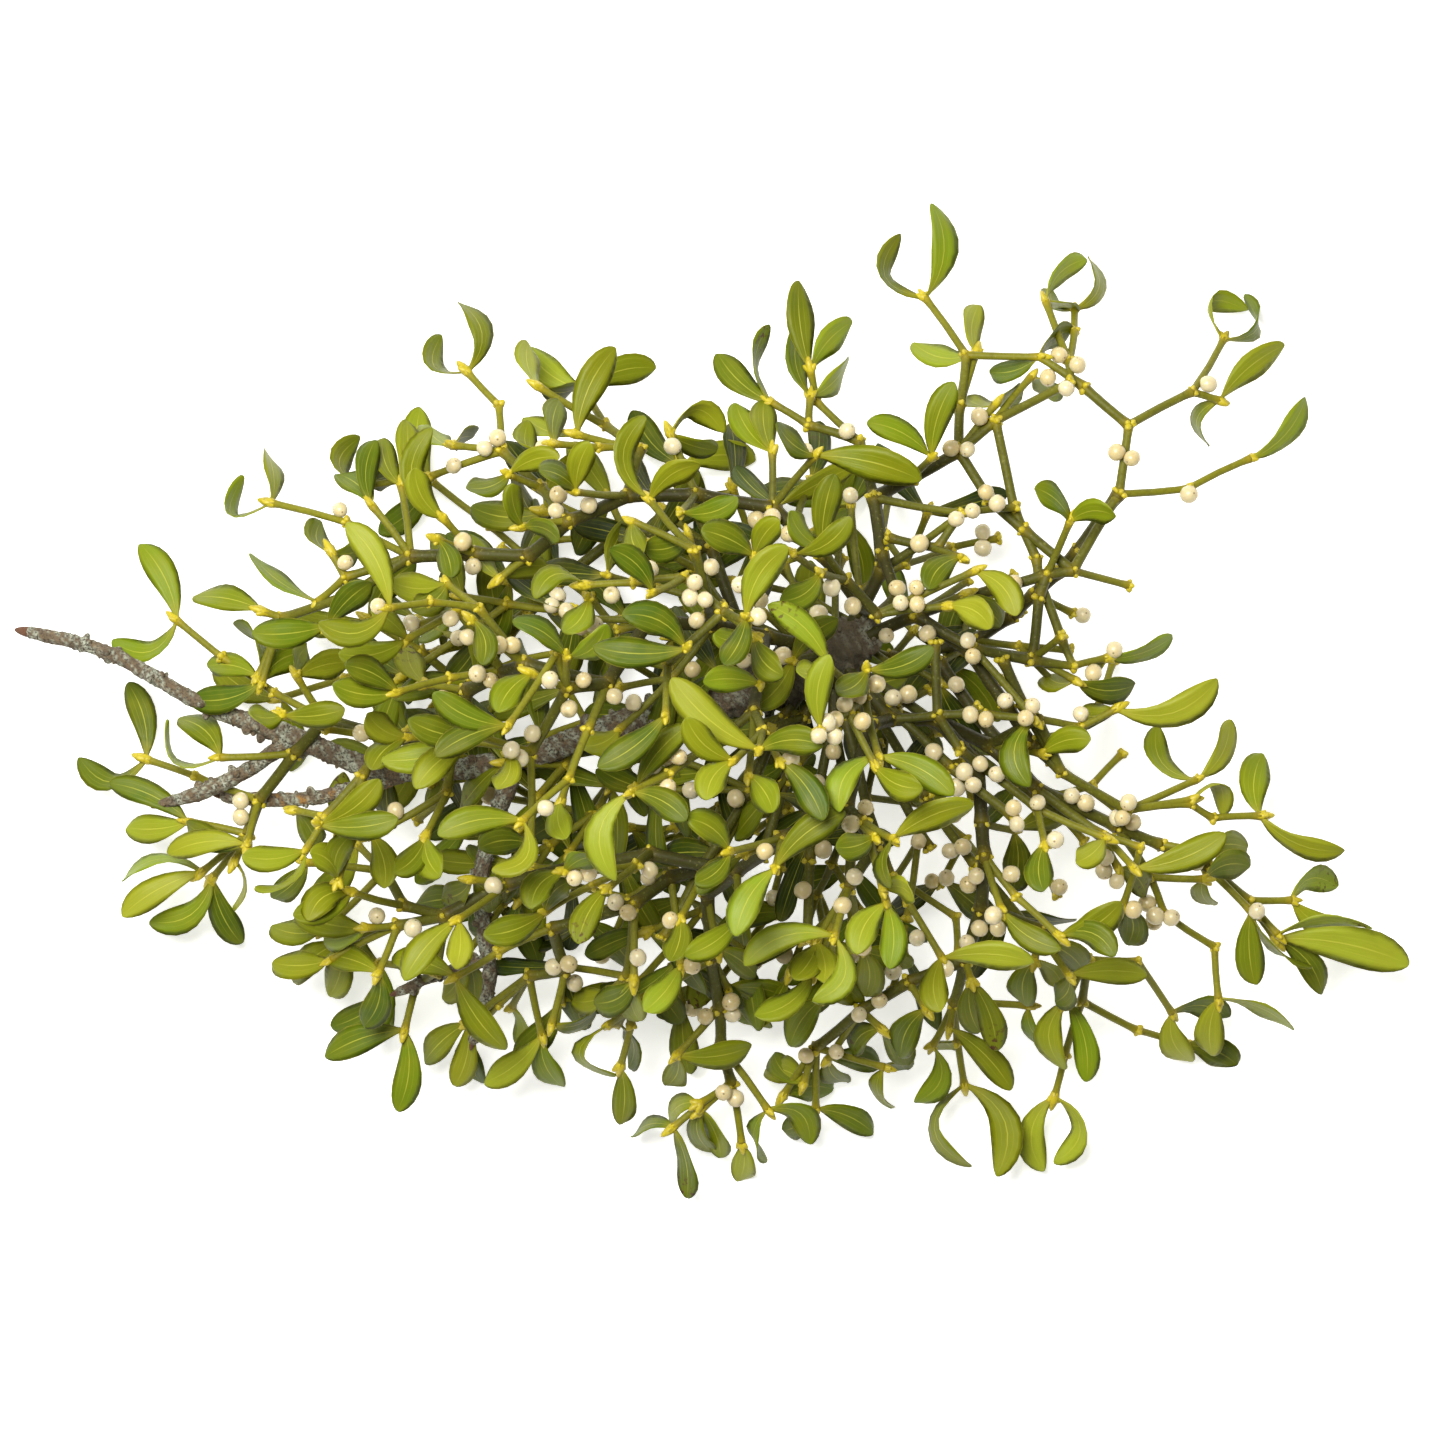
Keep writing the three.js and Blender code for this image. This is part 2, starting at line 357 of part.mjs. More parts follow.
// Leaves of one shoot tip
function leavesOf(at, [level, ...rows]) {
  return rows.flatMap((_, k) => (k % 4 ? [] : [rows.slice(k, k + 4)])).map((row) => {
    const broad = level > 0.8 || Math.abs(row[2]) > 7;
    return { ...leafShape(at, level, row), stations: broad ? broadStations : smallStations };
  });
}

// Closed mesh over rings of equal size, with a flat cap at either end
function skin(rings) {
  const count = rings[0].length;
  const points = rings.flat();
  const faces = [];
  for (let r = 0; r + 1 < rings.length; r += 1) {
    for (let i = 0; i < count; i += 1) {
      const [a, b] = [r * count + i, r * count + ((i + 1) % count)];
      faces.push(a, b, b + count, a, b + count, a + count);
    }
  }
  const end = points.length - count;
  for (let i = 1; i + 1 < count; i += 1) faces.push(i, 0, i + 1, end, end + i, end + i + 1);
  return new Manifold(new Mesh({ numProp: 3, vertProperties: Float32Array.from(points.flat()),
    triVerts: Uint32Array.from(faces) }));
}

// Ring of points about a centre, square to an axis, the first one where facing points
function ringAt(centre, axis, facing, radius, count) {
  const across = axis.clone().cross(facing);
  return Array.from({ length: count }, (_, i) => {
    const angle = (i / count) * 2 * Math.PI;
    return new THREE.Vector3(...centre).addScaledVector(facing, radius * Math.cos(angle))
      .addScaledVector(across, radius * Math.sin(angle)).toArray();
  });
}

// Limb along a path of places with radii, carried along without a twist
function limb(path, sides, extra = 0) {
  const fuller = 1 + 1.1 / sides; // few-sided limbs keep the girth of round ones
  const facing = new THREE.Vector3(0.36, 0.48, 0.8);
  return skin(path.map(([x, y, z, radius], i) => {
    const before = path[Math.max(0, i - 1)];
    const after = path[Math.min(path.length - 1, i + 1)];
    const axis = new THREE.Vector3(...[0, 1, 2].map((k) => after[k] - before[k])).normalize();
    facing.addScaledVector(axis, -facing.dot(axis)).normalize();
    return ringAt([x, y, z], axis, facing, radius * fuller + extra / Math.cos(Math.PI / sides), sides);
  }));
}

// Directions of a blade at a share of its length: along it, across it and out of its face
function bladeFrame(leaf, t) {
  const along = curveAt(leaf, t + 0.01).sub(curveAt(leaf, t - 0.01)).normalize();
  const face = along.clone().cross(new THREE.Vector3(...leaf.side)).normalize();
  const flat = face.clone().cross(along).applyAxisAngle(along, leaf.turn);
  return { along, flat, face: face.applyAxisAngle(along, leaf.turn) };
}

// Rings of one keeled leaf blade, widest past the middle, from near its base outwards;
// a blade fattened by extra is boxed, and side -1 mirrors it for a path that runs inwards
function bladeRings(leaf, stations, extra, side) {
  const rings = stations.map(([t, share]) => {
    const { flat, face } = bladeFrame(leaf, t);
    const half = leaf.width * share / 2 + extra;
    const keel = [0, -leafThickness * 0.7 - extra];
    const outline = extra
      ? [[half, 0.4 + extra], [-half, 0.4 + extra], [-half, -0.2 - extra], keel, [half, -0.2 - extra]]
      : [[half, 0.4], [-half, 0.4], keel];
    return outline.map(([across, up]) => {
      const spot = curveAt(leaf, t).addScaledVector(flat, across * side).addScaledVector(face, up);
      return [spot.x, spot.y, Math.max(0.5 - extra, spot.z)];
    });
  });
  return { rings, point: curveAt(leaf, 1 + extra / 30).toArray() };
}

// Place along a leaf's midrib
function curveAt(leaf, t) {
  return new THREE.Vector3(...leaf.base).multiplyScalar((1 - t) ** 2)
    .addScaledVector(new THREE.Vector3(...leaf.handle), 2 * t * (1 - t))
    .addScaledVector(new THREE.Vector3(...leaf.end), t * t);
}

// Solid through rings of points, one convex link from each ring to the next, so a bend can't fold it
function chain(rings) {
  const links = rings.slice(1).map((ring, i) => Manifold.hull([...rings[i], ...ring]));
  return Manifold.union(links.filter((link) => !link.isEmpty()));
}

// One blade, or a pair of opposite blades joined across the joint they grow from
function strip(leaves, extra) {
  const root = [[0, 0.2]];
  const last = leaves[leaves.length - 1];
  const outer = bladeRings(last, last.stations, extra, 1);
  const start = bladeRings(last, root, extra, 1).rings[0];
  if (leaves.length < 2) return chain([start, ...outer.rings, [outer.point]]);
  const inner = bladeRings(leaves[0], leaves[0].stations, extra, -1);
  const middle = bladeRings(leaves[0], root, extra, -1).rings[0]
    .map((spot, i) => blend(spot, start[i], 0.5));
  return chain([[inner.point], ...inner.rings.reverse(), middle, ...outer.rings, [outer.point]]);
}

// Blades of a shoot tip, each with its fattened twin; only well opposed blades make one strip
function bladesOf(leaves) {
  const frames = leaves.map((leaf) => bladeFrame(leaf, 0));
  const [first, second] = frames;
  const opposed = frames.length === 2 && first.along.dot(second.along) < -0.3
    && first.flat.dot(second.flat) < -0.4 && first.face.dot(second.face) > 0.4;
  return (opposed ? [leaves] : leaves.map((leaf) => [leaf]))
    .map((row) => [strip(row, 0), strip(row, gap)]);
}

const broadStations = [[0.26, 0.55], [0.6, 1], [0.9, 0.74]];
const smallStations = [[0.36, 0.72], [0.8, 0.95]];

// Eight-faced berry, each one turned its own way
function ball(centre, radius) {
  return Manifold.sphere(radius, 4).rotate([centre[0] * 7, centre[1] * 5, 0]).translate(centre);
}

// Cosine of the turn that a stem takes at a joint
function turnAt(before, joint, after) {
  const way = (a, b) => new THREE.Vector3(...b.at).sub(new THREE.Vector3(...a.at)).normalize();
  return way(before, joint).dot(way(joint, after));
}

// Limbs of one piece: each runs on through the stoutest shoot at every joint, ends in a bud
function woodOf(piece, knots, extra) {
  const limbs = [];
  piece.members.forEach((index) => {
    const knot = knots[index];
    const parent = knots[knot.parent];
    const runsOn = parent.path && parent.piece === knot.piece && parent.main === index
      && turnAt(knots[parent.parent], parent, knot) > 0.3;
    knot.path = runsOn ? parent.path : [[...parent.at, Math.min(parent.radius, knot.radius * 1.1)]];
    if (!runsOn) limbs.push(knot.path);
    const past = knot.leaves ? 1 + budLength / distance(parent.at, knot.at) : 1;
    knot.path.push([...blend(parent.at, knot.at, past), knot.radius * (knot.leaves ? 0.85 : knotSwell)]);
  });
  return limbs.map((path) => limb(path, path[0][3] > 3.4 ? 4 : 3, extra));
}

// Berries pressed against the nearest joint in plan, at most a few to a joint
function berriesOn(knots) {
  return berryTable.flatMap(([x, y]) => {
    let best = 1;
    knots.forEach((knot, i) => {
      const miss = Math.hypot(knot.at[0] - x, knot.at[1] - y);
      if (i && miss < Math.hypot(knots[best].at[0] - x, knots[best].at[1] - y)) best = i;
    });
    const knot = knots[best];
    knot.fruit = (knot.fruit || 0) + 1;
    if (knot.fruit > berriesPerJoint) return [];
    const way = new THREE.Vector3(x - knot.at[0], y - knot.at[1], 3).normalize();
    way.multiplyScalar(knot.radius * knotSwell + berryRadius * 0.72);
    return [{ knot: best, at: way.add(new THREE.Vector3(...knot.at)).toArray() }];
  });
}

// Sorts the joints into pieces: one bough per limb at the burl, small subtrees as sprigs
function sortPieces(knots) {
  const pieces = [];
  knots.forEach((knot, index) => {
    if (!index) return;
    const parent = knots[knot.parent];
    const sprig = knot.shoots <= sprigShoots;
    const starts = !knot.parent || (sprig && knot.shoots > 1 && parent.shoots > sprigShoots);
    knot.piece = starts ? pieces.push({ sprig, members: [] }) - 1 : parent.piece;
    pieces[knot.piece].members.push(index);
  });
  return pieces.sort((a, b) => a.sprig - b.sprig);
}

function boxesMeet(a, b, slack) {
  return [0, 1, 2].every((k) => a.min[k] < b.max[k] + slack && b.min[k] < a.max[k] + slack);
}

// Cuts a solid back from every other solid whose box meets its own
function cutBack(solid, others) {
  const near = others.filter((other) => boxesMeet(solid.boundingBox(), other.box, 0));
  return near.length ? solid.subtract(Manifold.union(near.map((other) => other.fat))) : solid;
}

function largest(solid) {
  return solid.decompose().sort((a, b) => b.volume() - a.volume())[0];
}

// Largest body with its slivers smoothed away
function smoothed(solid) {
  return largest(largest(solid).asOriginal().simplify(smoothing));
}

function withBox(fat, owner) {
  return { fat, box: fat.boundingBox(), owner };
}

// Solids of every piece: wood first, then each leaf cut back from all wood and other leaves
function buildSolids(knots, pieces, berries) {
  const hostParts = (extra) => hostLimbs.map((path, i) => limb(path, i ? 6 : 7, extra));
  const host = largest(Manifold.union(hostParts(0)));
  const taken = [withBox(Manifold.union(hostParts(gap)), -1)];
  const woods = pieces.map((piece, owner) => {
    const parts = (extra) => woodOf(piece, knots, extra);
    const wood = largest(cutBack(Manifold.union(parts(0)), taken));
    taken.push(withBox(Manifold.union(parts(gap)), owner));
    return wood;
  });
  const leafy = pieces.map(() => []);
  pieces.forEach((piece, owner) => piece.members.forEach((i) => {
    const { at, leaves } = knots[i];
    const fruit = berries.filter((berry) => berry.knot === i)
      .map((berry) => [ball(berry.at, berryRadius), ball(berry.at, berryRadius + 1.8 * gap)]);
    const blades = leaves ? bladesOf(leavesOf(at, leaves)) : [];
    [...fruit, ...blades].forEach(([solid, fat]) => {
      const cut = cutBack(solid, taken.filter((other) => other.owner !== owner));
      if (cut.isEmpty()) return;
      leafy[owner].push(largest(cut));
      taken.push(withBox(fat, owner));
    });
  }));
  return parted([host, ...woods.map((wood, i) => smoothed(Manifold.union([wood, ...leafy[i]])))]);
}

// Notches each piece wherever it still touches an earlier one
function parted(solids) {
  solids.forEach((solid, j) => solids.slice(0, j).forEach((earlier) => {
    if (!boxesMeet(solid.boundingBox(), earlier.boundingBox(), 0)) return;
    earlier.intersect(solids[j]).decompose().forEach((touch) => {
      const { min, max } = touch.boundingBox();
      const size = [0, 1, 2].map((k) => max[k] - min[k] + 2 * gap);
      const notch = Manifold.cube(size, true).translate(blend(min, max, 0.5));
      solids[j] = largest(solids[j].subtract(notch));
    });
  }));
  return solids;
}

// Corner places with none shared by two corners
function cornersApart(places) {
  const taken = new Set();
  const apart = Float32Array.from(places);
  for (let i = 0; i < apart.length; i += 3) {
    const key = () => [0, 1, 2].map((k) => Math.round(apart[i + k] * 500)).join();
    while (taken.has(key())) apart[i] += cornerStep;
    taken.add(key());
  }
  return apart;
}

function meshOf(solid, name, material) {
  const { vertProperties, triVerts } = solid.getMesh();
  const geometry = new THREE.BufferGeometry();
  geometry.setAttribute('position', new THREE.BufferAttribute(cornersApart(vertProperties), 3));
  geometry.setIndex(new THREE.BufferAttribute(new Uint32Array(triVerts), 1));
  geometry.computeVertexNormals();
  const mesh = new THREE.Mesh(geometry, new THREE.MeshStandardMaterial(material));
  mesh.name = name;
  return mesh;
}

const bark = { color: 0x84796c, roughness: 0.92, metalness: 0 };
const wood = { color: 0x8a8a3e, roughness: 0.6, metalness: 0 };
const freshLeaf = { color: 0x9fa83a, roughness: 0.5, metalness: 0 };
const oldLeaf = { color: 0x5f7d30, roughness: 0.5, metalness: 0 };

function build() {
  const knots = growPlant();
  const pieces = sortPieces(knots);
  const solids = buildSolids(knots, pieces, berriesOn(knots));
  const group = new THREE.Group();
  group.name = 'mistletoe_bunch';
  const counts = { bough: 0, sprig: 0 };
  solids.forEach((solid, i) => {
    if (!i) return group.add(meshOf(solid, 'host_branch', bark));
    const kind = pieces[i - 1].sprig ? 'sprig' : 'bough';
    counts[kind] += 1;
    const high = solid.boundingBox().max[2] > 150;
    const look = kind === 'bough' ? wood : high ? freshLeaf : oldLeaf;
    const name = `${kind === 'bough' ? 'woody_bough' : 'leafy_sprig'}_${counts[kind]}`;
    return group.add(meshOf(solid, name, look));
  });
  const box = new THREE.Box3().setFromObject(group);
  const middle = box.getCenter(new THREE.Vector3());
  group.children.forEach((mesh) => mesh.geometry.translate(-middle.x, -middle.y, -box.min.z));
  return group;
}

export default build();
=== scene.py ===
import json

import bpy
import numpy as np
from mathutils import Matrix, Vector

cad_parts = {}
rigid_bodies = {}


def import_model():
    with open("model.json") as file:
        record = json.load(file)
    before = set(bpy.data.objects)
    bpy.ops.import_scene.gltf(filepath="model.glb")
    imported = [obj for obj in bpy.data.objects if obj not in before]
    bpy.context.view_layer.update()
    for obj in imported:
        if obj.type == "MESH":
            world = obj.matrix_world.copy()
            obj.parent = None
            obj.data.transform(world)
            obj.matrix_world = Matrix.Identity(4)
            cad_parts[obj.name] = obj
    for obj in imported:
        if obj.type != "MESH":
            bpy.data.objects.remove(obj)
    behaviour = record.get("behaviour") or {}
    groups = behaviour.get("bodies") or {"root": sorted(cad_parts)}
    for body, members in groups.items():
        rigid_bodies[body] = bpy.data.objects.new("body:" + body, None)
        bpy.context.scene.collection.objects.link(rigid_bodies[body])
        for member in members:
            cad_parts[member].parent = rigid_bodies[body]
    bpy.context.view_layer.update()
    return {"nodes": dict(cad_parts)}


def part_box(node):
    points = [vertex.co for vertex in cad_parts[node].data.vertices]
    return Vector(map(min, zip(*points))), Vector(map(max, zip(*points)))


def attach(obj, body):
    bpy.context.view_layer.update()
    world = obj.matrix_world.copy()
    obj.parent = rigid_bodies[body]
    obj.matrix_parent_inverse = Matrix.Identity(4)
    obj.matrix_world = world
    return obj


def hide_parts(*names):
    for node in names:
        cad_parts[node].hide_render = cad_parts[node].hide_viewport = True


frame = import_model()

print("frame loaded:", len(frame["nodes"]), "nodes")

# How the plant grows, in millimetres, +Z up
plant = {
    "leafLength": 47,  # a full-grown leaf
    "leafWidthShare": 0.33,
    "twigRadius": 1.52,  # this year's shoots
    "thickestRadius": 3.8,
    "radiusPower": 0.26,  # how fast stems thicken with the shoots they carry
    "internode": 47,  # one year's growth at most
    "room": 11,  # clear distance sought round a midrib
    "sprigShoots": 8,  # shoots carried by one leafy sprig at most
    "hub": (60, 24, 96),  # where every bough leaves the burl
    "lift": 1.2,  # a leaf lying on the surface
    "slack": 1.03,  # a leaf's length over its reach in plan, at least
    "rise": 0.45,  # share of what is left that an upper leaf rises
    "droop": -0.6,  # and that a lower one droops
    "arch": 0.1,  # height of a leaf's handle over its ends, as a share of its length
    "shifts": (0, 8, -8, 16, -16, 24, -24),  # heights tried for a tip, mm from the wanted one
    "shiftCharge": 0.6,
    "sway": 4,  # mm a joint strays from the straight line between its neighbours
    "middle": (10, -5),  # plan centre of the dome
    "halfSize": (340, 255),  # its half length and half breadth
    "restHeight": (5, 6),  # lowest leaves over the surface, and how much more at the rim
    "domeHeight": (44, 176),  # highest shoots at the rim, and how much more in the middle
    "detour": 0.8,  # what a mm of detour counts against a mm of step
    "fullFork": 7,  # mm charged for each shoot a joint has beyond one
    "inward": 9,  # mm a parent is nearer the burl at least
}

# Low shoots out of sight, for the bunch to rest on
resting = {
    "tips": 22,
    "centre": (-55, -5),
    "spread": (210, 200),
    "nearest": 0.12,  # shares of the spread where the spiral starts and how far it runs on
    "further": 0.72,
    "leafReach": 37,
    "stray": 1.9,  # radians a shoot's heading may vary
    "leafTurn": 1.1,  # radians from a shoot's heading to each of its leaves
    "leafBow": 4,
    "leafRoll": 10,
    "low": 0.02,  # level, and how much more by chance
    "more": 0.2,
}
goldenTurn = 2.39996  # radians from one place to the next on a sunflower spiral

# stem joints in plan, mm: x, y, level (0 lowest, 1 top of the bunch)
forkTable = [
    [100, 42, 0.5], [140, 55, 0.45], [165, 62, 0.5], [201, 102, 0.48], [236, 105, 0.42],
    [206, 136, 0.5], [238, 153, 0.45], [177, 157, 0.5], [177, 168, 0.42], [149, 95, 0.5],
    [122, 123, 0.45], [140, 138, 0.5], [126, 171, 0.38], [84, 65, 0.48], [80, 100, 0.48],
    [73, 128, 0.42], [52, 148, 0.36], [123, 92, 0.6], [158, 21, 0.5], [128, 26, 0.55],
    [178, 17, 0.5], [172, 32, 0.6], [178, 64, 0.5], [206, 57, 0.4], [160, -9, 0.55],
    [181, -13, 0.5], [111, -9, 0.5], [88, -9, 0.5], [131, -31, 0.5], [137, -22, 0.42],
    [160, -43, 0.45], [172, -35, 0.5], [205, -54, 0.45], [237, -51, 0.4], [248, -58, 0.36],
    [200, -62, 0.4], [222, -71, 0.36], [245, -82, 0.33], [266, -99, 0.3], [133, -60, 0.5],
    [134, -76, 0.55], [160, -53, 0.55], [192, -66, 0.5], [211, -72, 0.55], [217, -87, 0.36],
    [224, -105, 0.33], [250, -122, 0.25], [211, -129, 0.35], [186, -128, 0.35],
    [184, -149, 0.25], [176, -176, 0.15], [120, -150, 0.3], [125, -128, 0.4], [96, -98, 0.6],
    [66, -52, 0.7], [52, -172, 0.22], [74, -153, 0.35], [10, -190, 0.16], [4, -152, 0.3],
    [0, -127, 0.4], [-2, -95, 0.45], [-38, -100, 0.5], [-42, -136, 0.4], [-20, -87, 0.45],
    [-37, -148, 0.42], [-72, -133, 0.36], [-78, -112, 0.45], [-90, -136, 0.32],
    [-136, -134, 0.36], [-131, -106, 0.45], [-152, -101, 0.4], [-70, 6, 0.8], [-75, 23, 0.86],
    [-21, 18, 0.85], [-51, 8, 0.72], [-88, -25, 0.7], [-69, -38, 0.86], [-113, 45, 0.78],
    [-124, 44, 0.72], [-143, 37, 0.6], [-91, 18, 0.72], [-148, 71, 0.5], [-70, 88, 0.6],
    [-90, 71, 0.52], [-103, 123, 0.45], [-105, 146, 0.38], [-35, 124, 0.45], [-41, 101, 0.5],
    [-8, 73, 0.8], [-180, 88, 0.42], [-180, 61, 0.5], [-212, 41, 0.4], [-176, 53, 0.5],
    [-216, 4, 0.36], [-224, -49, 0.32], [-230, -66, 0.3], [-190, -57, 0.55], [-155, -111, 0.4],
    [17, 38, 0.92], [6, 43, 0.84], [-13, 60, 0.84], [81, 42, 0.66], [76, -12, 0.72],
    [-30, -75, 0.55], [34, -67, 0.78], [-160, -18, 0.45], [-120, 5, 0.55], [-60, 40, 0.6],
    [-30, 40, 0.62], [30, 95, 0.5], [-130, -45, 0.5], [-100, -90, 0.45],
]

